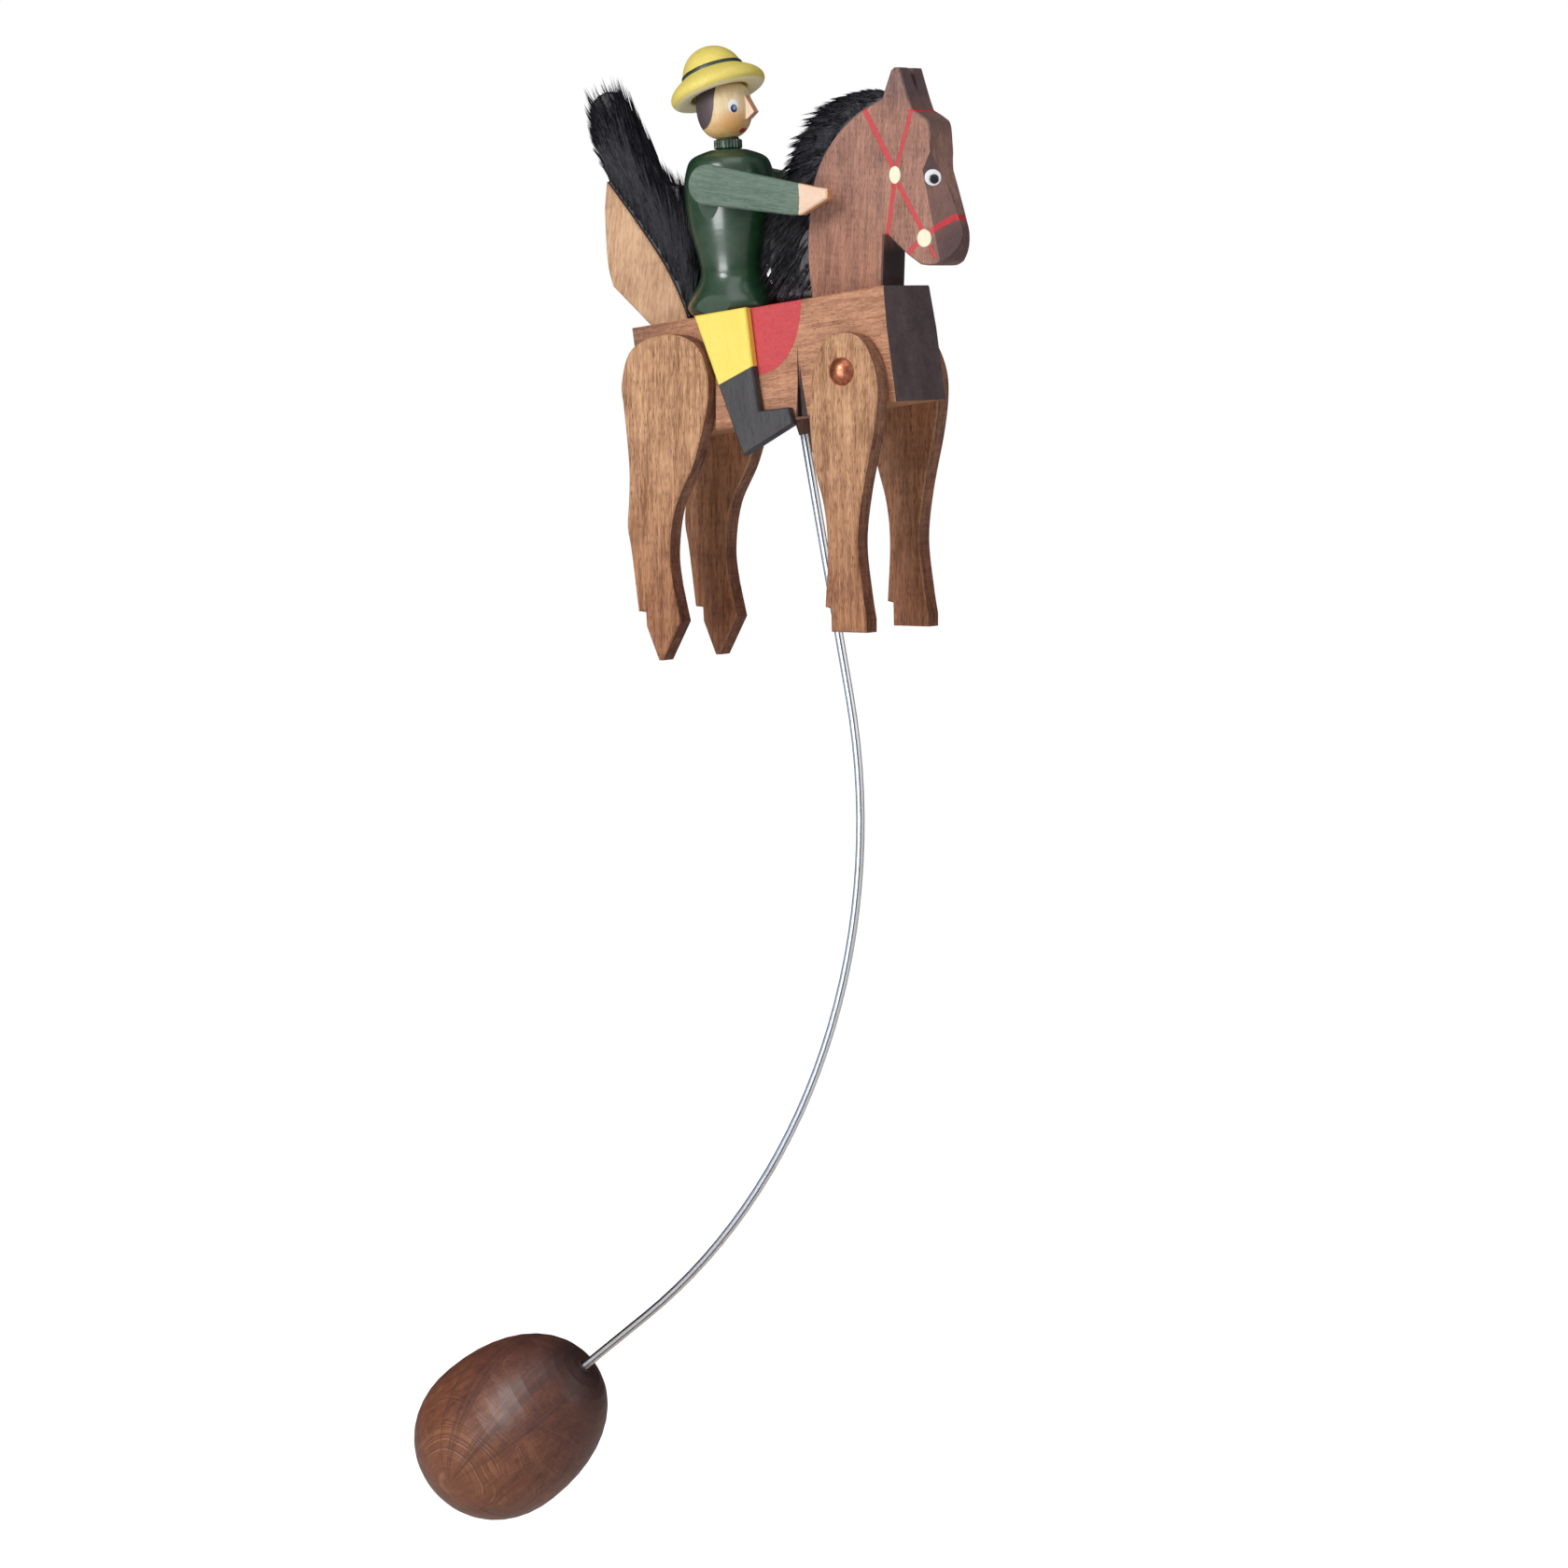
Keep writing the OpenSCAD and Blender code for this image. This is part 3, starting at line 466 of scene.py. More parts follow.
def leg_shades(tree, colour, hoof):
    """Painted shade on the inner faces, and more stain from the upper to the lower height of the
    hoof.
    """
    parts = split(tree, own_place(tree))
    # Painted shade: the inner faces of the legs are darkened.
    outward = product(tree, facing(tree, (0, 1, 0)), calc(tree, "SIGN", parts[1]))
    colour = tint(tree, ramp(tree, outward, -0.5, -0.9, 0, 0.85), colour, rgb(222, 208, 206))
    low = ramp(tree, parts[2], hoof[1], hoof[0], 0, 0.85)
    return tint(tree, low, colour, rgb(206, 178, 164))


def make_board_stain(name, along, pale, dark, edge_colour, pores, hoof=None):
    material, tree = new_material(name)
    place = part_axes(tree, along)
    side = sideways(tree)
    grain = grained(tree, place, pale, dark, (104, 66, 48), contrast=1.7, pores=pores, clouds=1.1)
    sawn = grained(tree, place, edge_colour, (104, 68, 56), (60, 38, 34),
                   contrast=1.4, pores=0.5, clouds=1.2)
    # Partly wear and partly a painted highlight: the eased edges are mixed a little towards a paler
    # colour.
    worn = mix(tree, 0.12, grain["Color"], rgb(200, 154, 120))
    colour = mix(tree, ramp(tree, side, 0.8, 0.97), worn, grain["Color"])
    colour = mix(tree, ramp(tree, side, 0.35, 0.6), sawn_edge(tree, place, sawn["Color"]), colour)
    if hoof is not None:
        colour = leg_shades(tree, colour, hoof)
    close_material(tree, colour, 0.62, grain["Height"], 0.07, Specular_IOR_Level=0.3)
    return material


leg_stain = make_board_stain("leg stain", (0, 0, 1), (224, 175, 133), (146, 100, 68),
                             (188, 136, 108), pores=0.85, hoof=(4, 66))
tail_stain = make_board_stain("tail board stain", (0.12, 0, 1), (226, 186, 148),
                              (176, 132, 100), (190, 146, 112), pores=0.35)
finish_node(leg_stain, "right_rear_leg", "left_rear_leg", "right_front_leg", "left_front_leg")
finish_node(tail_stain, "tail_board")
print("leg and tail stain ready")

# %% [markdown]
# ## Body block and saddle cloth
#
# The body block has its grain along the back. Its ends are end grain, which drinks stain and
# turns almost black, and that is why the chest looks so dark. The saddle cloth is matte red
# paint with a rounded lower edge, brushed over the back and down both sides. The block was
# sawn open for the wire, and the shade inside that cut is painted as a dark wedge on its
# sides. Both are masks over the side view, so neither needs a piece or a picture of its own.

# %% Saddle cloth and shade of the saw cut
cloth_centre = (23.2, 85.0)
cloth_radii = (12.4, 17.6)
cloth_roundness = 2.4
kerf_top = (35.6, 73.0)
kerf_foot = 51.4
kerf_width = 2.9


def cushion(tree, place, centre, radii, power):
    """A side-view shape between an ellipse (power 2) and a box, with a slightly uneven edge."""
    parts = split(tree, place)
    total = 0.0
    for axis, middle, radius in zip((0, 2), centre, radii):
        reach = calc(tree, "DIVIDE", calc(tree, "SUBTRACT", parts[axis], middle), radius)
        total = calc(tree, "ADD", calc(tree, "POWER", calc(tree, "ABSOLUTE", reach), power), total)
    return ramp(tree, wavered(tree, total, place, 0.07, scale=0.7, detail=2), 1.02, 0.98)


def kerf_shade_wedge(tree, place):
    """The painted shade of the saw cut, a dark wedge that widens downwards from its top."""
    parts = split(tree, place)
    width = ramp(tree, parts[2], kerf_top[1], kerf_foot, 0, kerf_width)
    from_left = calc(tree, "SUBTRACT", parts[0], kerf_top[0])
    past_left = ramp(tree, from_left, -0.1, 0.12)
    before_right = ramp(tree, calc(tree, "SUBTRACT", width, from_left), -0.1, 0.12)
    under_top = ramp(tree, parts[2], kerf_top[1] + 0.2, kerf_top[1] - 0.6, 0, 0.94)
    return product(tree, product(tree, past_left, before_right), under_top)


print("saddle cloth is about", 2 * cloth_radii[0], "mm wide")

# %% [markdown]
# ## Layers of the body block
#
# The layers follow the order of the real work: stain first, darker towards the rear, then the
# painted shade of the saw cut, and the red paint last, so that it covers the cut. The paint is
# thin in places, which a noise between two reds shows.

# %% Body block
rear_starts = 14
rear_is_full = -2


def make_body_stain():
    material, tree = new_material("body stain")
    place = part_axes(tree, along_trunk)
    grain = grained(tree, scaled(tree, place, 1.5), (214, 158, 122), (150, 98, 70), (106, 62, 46),
                    contrast=1.6, pores=0.8, clouds=0.9)
    end_grain = grained(tree, place, (112, 96, 98), (80, 66, 70), (60, 50, 52),
                        contrast=0.9, pores=0.3, clouds=1.4)
    ends = calc(tree, "ABSOLUTE", facing(tree, along_trunk))
    colour = mix(tree, ramp(tree, ends, 0.72, 0.9), grain["Color"], end_grain["Color"])
    # Darker towards the rear.
    rear = ramp(tree, split(tree, place)[0], rear_starts, rear_is_full, 0, 0.9)
    colour = tint(tree, rear, colour, rgb(184, 182, 184))
    # Painted shade: the inside of the saw cut, laid on as a dark wedge.
    colour = mix(tree, kerf_shade_wedge(tree, own_place(tree)), colour, rgb(44, 30, 34))
    cloth = cushion(tree, own_place(tree), cloth_centre, cloth_radii, cloth_roundness)
    thin = noise(tree, place, scale=1.6, detail=3, roughness=0.7)
    red = mix(tree, ramp(tree, thin, 0.35, 0.7, 0, 0.5), rgb(212, 76, 84), rgb(184, 60, 70))
    colour = mix(tree, product(tree, cloth, 0.97), colour, red)
    close_material(tree, colour, ramp(tree, cloth, 0, 1, 0.6, 0.7), grain["Height"], 0.06,
                   Specular_IOR_Level=0.35)
    return material


finish_node(make_body_stain(), "trunk_block")
print("body block ready")

# %% [markdown]
# ## Harness
#
# The bridle is red brush work with an ivory dot at each crossing. The painter needs only a
# few strokes for each side, so they are kept as a list: where a stroke starts and ends, seen
# from the side, and how wide the brush was.

# %% Harness
strap_lines = [
    ((49.1, 129.2), (56.6, 116.0), 1.3), ((61.6, 128.4), (57.9, 116.0), 0.95),
    ((61.0, 128.5), (64.5, 128.7), 0.55), ((57.1, 111.6), (55.4, 99.6), 1.1),
    ((58.3, 111.6), (64.5, 101.2), 1.2), ((66.6, 100.4), (71.3, 104.0), 1.35),
    ((71.3, 104.0), (76.0, 103.7), 1.35), ((63.4, 98.2), (60.2, 95.0), 1.15),
    ((66.4, 97.8), (67.9, 94.9), 0.85)]
strap_dots = [((57.3, 113.8), (1.5, 2.0)), ((65.1, 99.2), (1.85, 2.05))]


def bridle(tree, place):
    """The painted straps and the dots, as two masks."""
    straps, dots = 0.0, 0.0
    for start, end, width in strap_lines:
        straps = both(tree, straps, stroke(tree, place, start, end, width))
    for centre, radii in strap_dots:
        dots = both(tree, dots, side_dab(tree, place, centre, radii))
    return straps, dots


print("bridle has", len(strap_lines), "strokes and", len(strap_dots), "dots")

# %% [markdown]
# ## Dark places on the head
#
# Neck and head are one sawn board with upright grain and a cooler brown stain. A carver cut
# the cheeks back below the brow and sawed a gap between the ears. The cut cheeks are coloured
# darker, and in the gap the far ear is darkened as painted shade. The stain is sprayed darker
# still over the eyes and on the muzzle. Each darker place is a mask, and most of them start
# and end at a height, so the heights stand in one table.

# %% Masks of the head
heights = {"ear gap": (128.6, 129.6), "cheek": (123, 121), "brow": (121, 127), "ears": (129, 133)}
gap_side = (4.6, 4.2)
above_trunk = Vector((-math.sin(trunk_pitch), 0, math.cos(trunk_pitch)))
seat_height = max(above_trunk.dot(v.co) for v in nodes["trunk_block"].data.vertices) / mm


def ear_gap(tree, parts):
    """The sawn gap between the ears, inside the outer faces of the board."""
    inside = ramp(tree, calc(tree, "ABSOLUTE", parts[1]), *gap_side)
    return product(tree, inside, ramp(tree, parts[2], *heights["ear gap"]))


def cheek_slope(tree, parts, side):
    """The sloping cheeks that the carver cut back below the brow."""
    forward = ramp(tree, facing(tree, (1, 0, 0)), 0.35, 0.5)
    slope = product(tree, forward, ramp(tree, side, 0.6, 0.72))
    return product(tree, slope, ramp(tree, parts[2], *heights["cheek"]))


def sprayed_stain(tree, place, flat_place, slope):
    """Speckled dark stain on the muzzle and, on the cheek, over the eye."""
    over_eye = side_dab(tree, flat_place, (65.6, 116.6), (2.6, 5.2), 0.4)
    muzzle = side_dab(tree, flat_place, (75.5, 96.5), (7.5, 7.5), 0.4)
    speckle = ramp(tree, noise(tree, place, scale=2.4, detail=2), 0.25, 0.6, 0.5, 0.85)
    return product(tree, both(tree, muzzle, product(tree, over_eye, slope)), speckle)


def glue_seam(tree, flat_place):
    """The dark line of glue where the neck stands on the trunk."""
    above = vector_calc(tree, "DOT_PRODUCT", flat_place, above_trunk)
    return ramp(tree, above, seat_height + 0.28, seat_height + 0.12, 0, 0.8)


print("neck stands", round(seat_height, 1), "mm up, square to the trunk")

# %% [markdown]
# ## Neck and head
#
# The planed sides and the sawn edges get a grain each. The darker places come next, stain
# and painted shade, then the spray, and the bridle's paint lies on top of them, a little
# raised, so that its edge catches the light.

# %% Neck and head
def head_shades(tree, colour, parts, side, flat_place):
    """Darker colour on the brow, the cut cheeks and the ears, painted shade in the gap between the
    ears, and stain with painted shade under the throat.
    """
    brow = product(tree, ramp(tree, facing(tree, (1, 0, 0.2)), 0.2, 0.7, 0, 0.55),
                   ramp(tree, parts[2], *heights["brow"]))
    colour = mix(tree, brow, colour, rgb(100, 82, 80))
    slope = cheek_slope(tree, parts, side)
    cut_cheek = mix(tree, 0.3, rgb(100, 76, 74), colour)
    colour = mix(tree, product(tree, slope, 0.9), colour, cut_cheek)
    colour = tint(tree, ramp(tree, parts[2], *heights["ears"]), colour, rgb(224, 232, 246))
    # Painted shade: the far ear's face seen in the gap between the ears is darkened.
    gap = product(tree, ear_gap(tree, parts), ramp(tree, side, 0.8, 0.95, 0, 0.7))
    colour = mix(tree, gap, colour, rgb(70, 50, 48))
    neck_root = side_dab(tree, flat_place, (44, 86), (16, 18), 0.6)
    colour = tint(tree, product(tree, neck_root, 0.5), colour, rgb(255, 236, 206))
    # Partly stain and partly painted shade: the neck's front under the head.
    throat = product(tree, ramp(tree, side, 0.8, 0.5),
                     side_dab(tree, flat_place, (57, 90), (6, 9), 0.25))
    return mix(tree, throat, colour, rgb(72, 60, 62)), slope


def make_head_stain():
    material, tree = new_material("head stain")
    place = part_axes(tree, (0.05, 0, 1))
    flat_place = own_place(tree)
    parts = split(tree, flat_place)
    side = sideways(tree)
    grain = grained(tree, scaled(tree, place, 1.35), (188, 138, 118), (128, 90, 78), (98, 62, 56),
                    contrast=1.4, pores=0.85, clouds=1.2)
    edge_grain = grained(tree, place, (176, 136, 122), (122, 92, 86), (74, 54, 52),
                         contrast=1.4, pores=0.5, clouds=1.8)
    outside_gap = calc(tree, "SUBTRACT", 1.0, ear_gap(tree, parts))
    is_side = product(tree, ramp(tree, side, 0.6, 0.97), outside_gap)
    colour = mix(tree, is_side, edge_grain["Color"], grain["Color"])
    colour, slope = head_shades(tree, colour, parts, side, flat_place)
    sprayed = sprayed_stain(tree, place, flat_place, slope)
    colour = mix(tree, sprayed, colour, rgb(82, 62, 66))
    straps, dots = bridle(tree, flat_place)
    colour = mix(tree, product(tree, straps, 0.96), colour, rgb(208, 62, 70))
    colour = mix(tree, dots, colour, rgb(252, 246, 216))
    colour = mix(tree, glue_seam(tree, flat_place), colour, rgb(66, 44, 38))
    paint = both(tree, straps, dots)
    height = calc(tree, "MULTIPLY_ADD", paint, 1.2, grain["Height"])
    close_material(tree, colour, ramp(tree, paint, 0, 1, 0.62, 0.5), height, 0.06,
                   Specular_IOR_Level=0.35)
    return material


finish_node(make_head_stain(), "neck_head")
print("neck and head ready")

# %% [markdown]
# ## Counterweight
#
# The ball is turned from the same wood, stained walnut brown and varnished. The lathe leaves
# fine rings round its axis, strongest at the far end where the tool finished, and the grain
# runs from end to end. A noise that depends only on the distance from the axis draws such
# rings, and a noise that depends only on the turn round it draws spokes.

# %% Marks of the lathe
wire_end_lean = math.radians(51.9)
ball_axis = Vector((math.sin(wire_end_lean), 0, math.cos(wire_end_lean)))
ball_foot = Vector((-72.3, 0, -205.4))
ball_length = 51.9
ball_middle = ball_foot + ball_axis * ball_length / 2
turning_axis = Vector((-0.30, -0.76, -0.535))


def rings(tree, distance, per_mm, detail, roughness=0.5):
    """A noise that changes only with the distance from the axis."""
    along = add(tree, "ShaderNodeCombineXYZ", {0: product(tree, distance, per_mm)}).outputs[0]
    return noise(tree, along, detail=detail, roughness=roughness)


def turning_marks(tree, place):
    """Pale rings, dark grooves, dark spokes of end grain and the nearness of the far end."""
    axis = split(tree, part_axes(tree, turning_axis, ball_middle))
    round_axis = add(tree, "ShaderNodeCombineXYZ", {1: axis[1], 2: axis[2]}).outputs[0]
    off_axis = vector_calc(tree, "LENGTH", round_axis)
    spoke = scaled(tree, vector_calc(tree, "NORMALIZE", round_axis), 9.0)
    spokes = noise(tree, spoke, detail=3, roughness=0.7)
    wobble = noise(tree, place, scale=0.09, detail=1)
    turned = calc(tree, "MULTIPLY_ADD", wobble, 3.0, off_axis)
    fine = rings(tree, turned, 1.9, detail=2, roughness=0.7)
    broad = rings(tree, turned, 0.42, detail=1)
    far_end = ramp(tree, off_axis, 22, 3)
    strength = ramp(tree, noise(tree, place, scale=0.17, detail=2), 0.4, 0.6)
    strength = product(tree, strength, calc(tree, "MULTIPLY_ADD", far_end, 0.7, 0.3))
    strength = product(tree, strength, ramp(tree, spokes, 0.34, 0.5, 0.25, 1.0))
    pale = both(tree, ramp(tree, fine, 0.5, 0.6), ramp(tree, broad, 0.56, 0.64))
    grooves = ramp(tree, fine, 0.48, 0.38)
    dark_spokes = ramp(tree, spokes, 0.46, 0.34, 0, 0.65)
    return product(tree, pale, strength), product(tree, grooves, strength), dark_spokes, far_end


print("ball is", ball_length, "mm long, with its middle at z", round(ball_middle.z, 1))

# %% [markdown]
# ## Varnish of the ball
#
# The marks are laid over the grain, and the wood gets darker towards the wire, and darker
# still round the hole, as painted shade of its mouth. The rings are bump as well as colour, so
# they break up the highlights, and the varnish is only a thin coat over a fairly rough base.

# %% Counterweight
def make_ball_varnish():
    material, tree = new_material("ball varnish")
    place = part_axes(tree, ball_axis, ball_foot)
    grain = grained(tree, place, (144, 88, 64), (90, 50, 38), (58, 36, 30),
                    contrast=1.3, pores=0.5, clouds=0.9)
    pale_rings, grooves, dark_spokes, far_end = turning_marks(tree, place)
    colour = mix(tree, product(tree, far_end, 0.4), grain["Color"], rgb(154, 98, 66))
    colour = mix(tree, dark_spokes, colour, rgb(70, 46, 42))
    colour = mix(tree, product(tree, pale_rings, 0.6), colour, rgb(192, 134, 98))
    colour = mix(tree, product(tree, grooves, 0.6), colour, rgb(74, 46, 38))
    along = split(tree, place)[0]
    wire_side = ramp(tree, along, ball_length * 0.4, ball_length, 0, 0.6)
    colour = mix(tree, wire_side, colour, rgb(72, 48, 46))
    # Painted shade round the mouth of the wire's hole.
    hole_mouth_shade = ramp(tree, along, ball_length - 5.0, ball_length, 0, 0.75)
    colour = mix(tree, hole_mouth_shade, colour, rgb(48, 34, 36))
    height = calc(tree, "SUBTRACT", pale_rings, grooves)
    height = calc(tree, "MULTIPLY_ADD", grain["Height"], 0.3, height)
    close_material(tree, colour, 0.42, height, 0.04, Coat_Weight=0.1, Coat_Roughness=0.3,
                   Specular_IOR_Level=0.35)
    return material


finish_node(make_ball_varnish(), "counterweight")
print("counterweight ready")

# %% [markdown]
# ## Coat
#
# The coat is turned wood under thick glossy green. Paint that thick levels itself and keeps
# only a slow ripple, with a trace of the grain below, so the bump is very shallow and a clear
# coat over a rougher base gives the long soft highlights.

# %% Coat
def make_coat():
    material, tree = new_material("coat paint")
    place = part_axes(tree, (0, 0, 1))
    ripple = noise(tree, place, scale=0.35, detail=2)
    grain = noise(tree, vector_calc(tree, "MULTIPLY", place, (0.15, 2.2, 2.2)), detail=2)
    colour = mix(tree, ramp(tree, ripple, 0.3, 0.7), rgb(24, 58, 36), rgb(34, 70, 46))
    height = calc(tree, "MULTIPLY_ADD", ripple, 1.2, grain)
    close_material(tree, colour, 0.34, height, 0.006, Coat_Weight=0.9, Coat_Roughness=0.2)
    return material


finish_node(make_coat(), "rider_torso")
print("coat ready")

# %% [markdown]
# ## Sleeves and hands
#
# The sleeves are only stained green, so their grain stays matte and visible, and the hands
# are left out of the stain. Both are on one sawn board, so one material holds both and
# changes over at the cuff, a slightly bowed line drawn by the brush.

# %% Sleeves and hands
cuff_at = 36.0
cuff_middle = 108.0
cuff_half = 6.0
cuff_bow = 0.6


def make_sleeve():
    material, tree = new_material("sleeve stain and hand")
    place = part_axes(tree, (0.99, 0, -0.13))
    flat_place = own_place(tree)
    parts = split(tree, flat_place)
    side = sideways(tree)
    sleeve = grained(tree, place, (110, 132, 116), (72, 96, 80), (40, 64, 50),
                     contrast=1.4, pores=0.5, clouds=0.8)
    hand = grained(tree, place, (250, 218, 194), (238, 200, 172), (222, 176, 144),
                   contrast=0.8, pores=0.3, clouds=0.5)
    skin = mix(tree, ramp(tree, side, 0.4, 0.8), rgb(226, 160, 104), hand["Color"])
    off_middle = calc(tree, "DIVIDE", calc(tree, "SUBTRACT", parts[2], cuff_middle), cuff_half)
    bow = product(tree, calc(tree, "POWER", off_middle, 2.0), cuff_bow)
    along = wavered(tree, calc(tree, "ADD", parts[0], bow), flat_place, 0.3, scale=0.9)
    colour = mix(tree, ramp(tree, along, cuff_at - 0.1, cuff_at + 0.1), sleeve["Color"], skin)
    close_material(tree, colour, ramp(tree, side, 0.3, 0.8, 0.25, 0.6), sleeve["Height"], 0.06,
                   Specular_IOR_Level=0.5)
    return material


finish_node(make_sleeve(), "right_arm", "left_arm")
print("sleeves end at x in mm:", cuff_at)

# %% [markdown]
# ## Trousers and boots
#
# The rider's legs are flat sawn boards in two paints: opaque yellow for the trousers and a
# thin black, through which the grain shows, for the boots. The sawn edge takes the yellow a
# little deeper. The boot's top is a slanting line, so the mask is the distance below it.

# %% Trousers and boots
boot_top = (Vector((17.6, 0, 66.0)), Vector((26.8, 0, 70.6)))


def make_trousers():
    material, tree = new_material("trousers and boots paint")
    place = part_axes(tree, (0.25, 0, -1))
    trousers = grained(tree, place, (255, 236, 118), (248, 222, 92), (232, 196, 70),
                       contrast=0.9, pores=0.35, clouds=0.8)
    boot = grained(tree, place, (71, 69, 72), (42, 40, 43), (44, 42, 46),
                   contrast=1.4, pores=0.7, clouds=0.7)
    yellow = mix(tree, ramp(tree, sideways(tree), 0.45, 0.85), rgb(252, 222, 98),
                 trousers["Color"])
    across = (boot_top[1] - boot_top[0]).normalized()
    down = Vector((across.z, 0, -across.x))
    from_top = vector_calc(tree, "SUBTRACT", own_place(tree), boot_top[0])
    below = vector_calc(tree, "DOT_PRODUCT", from_top, down)
    colour = mix(tree, ramp(tree, below, -0.08, 0.08), yellow, boot["Color"])
    close_material(tree, colour, 0.5, trousers["Height"], 0.04, Specular_IOR_Level=0.4)
    return material


finish_node(make_trousers(), "right_rider_leg", "left_rider_leg")
print("trousers and boots ready")

# %% [markdown]
# ## Head of the rider
#
# The head is a turned wooden peg left almost bare, so its upright grain shows through. Hair,
# eyes, a blush and a mouth are dabbed on. Each dab is laid in mirrored coordinates, so one
# entry in the list paints both sides of the face.

# %% Face
face_dabs = {
    "blush": ((12.9, 4.0, 126.6), (3.2, 3.2, 2.6), 0.6, 0.6, (232, 160, 88)),
    "white of the eye": ((13.2, 4.3, 130.3), (1.2, 1.3, 1.55), 0.12, 1.0, (252, 252, 250)),
    "pupil": ((13.35, 4.15, 129.65), (0.82, 0.82, 0.95), 0.08, 1.0, (44, 52, 104)),
    "light in the pupil": ((13.45, 4.05, 129.85), (0.4, 0.4, 0.5), 0.3, 1.0, (136, 160, 206)),
    "mouth": ((13.3, 0.5, 124.6), (1.4, 0.85, 0.6), 0.1, 1.0, (178, 40, 50))}
hair_middle = (3.6, 132.0)
hair_radii = (5.6, 7.3)
hair_roundness = 2.7
chin_shade = (130.0, 124.0)


def make_face():
    material, tree = new_material("face")
    flat_place = own_place(tree)
    grain = grained(tree, part_axes(tree, (-0.14, 0, 0.99)), (248, 228, 190), (232, 204, 154),
                    (216, 180, 128), contrast=1.6, pores=0.5, clouds=0.6)
    chin = ramp(tree, split(tree, flat_place)[2], *chin_shade, 0, 0.75)
    colour = tint(tree, chin, grain["Color"], rgb(255, 222, 164))
    mirrored = vector_calc(tree, "ABSOLUTE", flat_place)
    for centre, radii, softness, cover, paint in face_dabs.values():
        mark = product(tree, dab(tree, mirrored, centre, radii, softness), cover)
        colour = mix(tree, mark, colour, rgb(*paint))
    hair = cushion(tree, mirrored, hair_middle, hair_radii, hair_roundness)
    colour = mix(tree, hair, colour, rgb(90, 76, 82))
    close_material(tree, colour, 0.48, grain["Height"], 0.03, Specular_IOR_Level=0.4)
    return material


finish_node(make_face(), "rider_head")
print("face has", len(face_dabs), "kinds of dab")

# %% [markdown]
# ## Nose
#
# The nose is a small wedge of wood stuck on the face, in the same skin colour as the hands.
# Its sawn edges take the colour deeper than its sides, which is what makes it stand out.

# %% Nose
def make_nose_paint():
    material, tree = new_material("nose wood")
    grain = grained(tree, part_axes(tree, (0.3, 0, -1)), (250, 220, 200), (236, 196, 172),
                    (220, 160, 130), contrast=0.8, pores=0.3, clouds=0.5)
    colour = mix(tree, ramp(tree, sideways(tree), 0.4, 0.8), rgb(220, 164, 132), grain["Color"])
    close_material(tree, colour, 0.5, grain["Height"], 0.02, Specular_IOR_Level=0.4)
    return material


finish_node(make_nose_paint(), "rider_nose")
print("nose ready")

# %% [markdown]
# ## Pieces made here
#
# What the frame doesn't hold is built as meshes from lists of points and faces. A ring such
# as a hat band is a small section turned round an axis. Every piece made here sits on a part
# that doesn't move by itself, so all of them ride with the horse and its rider.

# %% New pieces and turned rings
def new_object(name, points, faces, material):
    """A smoothly shaded mesh object in the scene."""
    mesh = bpy.data.meshes.new(name)
    mesh.from_pydata(points, [], faces)
    mesh.polygons.foreach_set("use_smooth", [True] * len(mesh.polygons))
    mesh.materials.append(material)
    made = bpy.data.objects.new(name, mesh)
    put_in_scene(made)
    return made


def ride_with_rider(piece):
    """Lets a piece move with the horse and its rider."""
    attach(piece, "horse_and_rider")
    return piece


def ring_piece(name, centre, axis, radius, section, material, waves=0, wave_depth=0.0,
               around=144):
    """A turned ring with the given half section [out, up]; waves notch it round the outside."""
    turn = Vector(axis).to_track_quat("Z", "Y")
    points, faces = [], []
    size = len(section)
    for k in range(around):
        a = 2 * math.pi * k / around
        notch = wave_depth * (0.5 - 0.5 * math.cos(waves * a)) ** 2
        for out, up in section:
            r = radius + out - (notch if out > 0 else 0)
            points.append(turn @ Vector((r * math.cos(a), r * math.sin(a), up)) + Vector(centre))
        here, after = k * size, ((k + 1) % around) * size
        for j in range(size):
            n = (j + 1) % size
            faces.append((here + j, after + j, after + n, here + n))
    return ride_with_rider(new_object(name, points, faces, material))


def oval(half_width, half_height, steps=10):
    """Section points of an oval, anticlockwise."""
    return [(half_width * math.cos(2 * math.pi * k / steps),
             half_height * math.sin(2 * math.pi * k / steps)) for k in range(steps)]


print("helpers for pieces ready")

# %% [markdown]
# ## Hat
#
# The hat is turned from one piece and sits tilted back and a little towards the far side, as
# hand glue leaves it. The frame holds it as a plain turned solid. Here it gets its thick
# rounded brim and the hollow underside, so the profile is drawn as points from the middle of
# the crown round the brim and turned round the hat's own axis.

# %% Profile of the hat
hat_back, hat_aside = math.radians(22.5), math.radians(3)
hat_axis = Vector((-math.sin(hat_back), math.sin(hat_aside), 0))
hat_axis.z = math.sqrt(1 - hat_axis.x ** 2 - hat_axis.y ** 2)
hat_base = Vector((6.45, 0, 134.5))
brim_radius = 11.5
crown_radius = 7.35
crown_top = 10.35
hollow_roof = 1.7
dome_points = [(crown_radius * math.sin(a), crown_top - crown_radius + crown_radius * math.cos(a))
               for a in [math.radians(6 * k) for k in range(1, 15)]]
brim_points = [
    (7.34, 4.2), (7.4, 3.85), (7.65, 3.6), (8.2, 3.3), (9.1, 2.75), (10.0, 2.1), (10.7, 1.45),
    (11.18, 0.8), (11.43, 0.25), (brim_radius, -0.3), (11.43, -0.8), (11.2, -1.25),
    (10.85, -1.6), (10.4, -1.83), (9.9, -1.92), (9.3, -1.86), (8.4, -1.7), (7.4, -1.5),
    (7.0, -1.3), (6.85, -0.9), (6.85, 1.4), (6.3, hollow_roof)]
print("profile points:", len(dome_points) + len(brim_points))

# %% [markdown]
# ## Paint of the hat
#
# The yellow is opaque and almost matte, a little uneven where the brush overlapped. It stops
# at the brim's lower side, where the wood is bare, so the mask is the way the surface faces
# along the hat's axis.

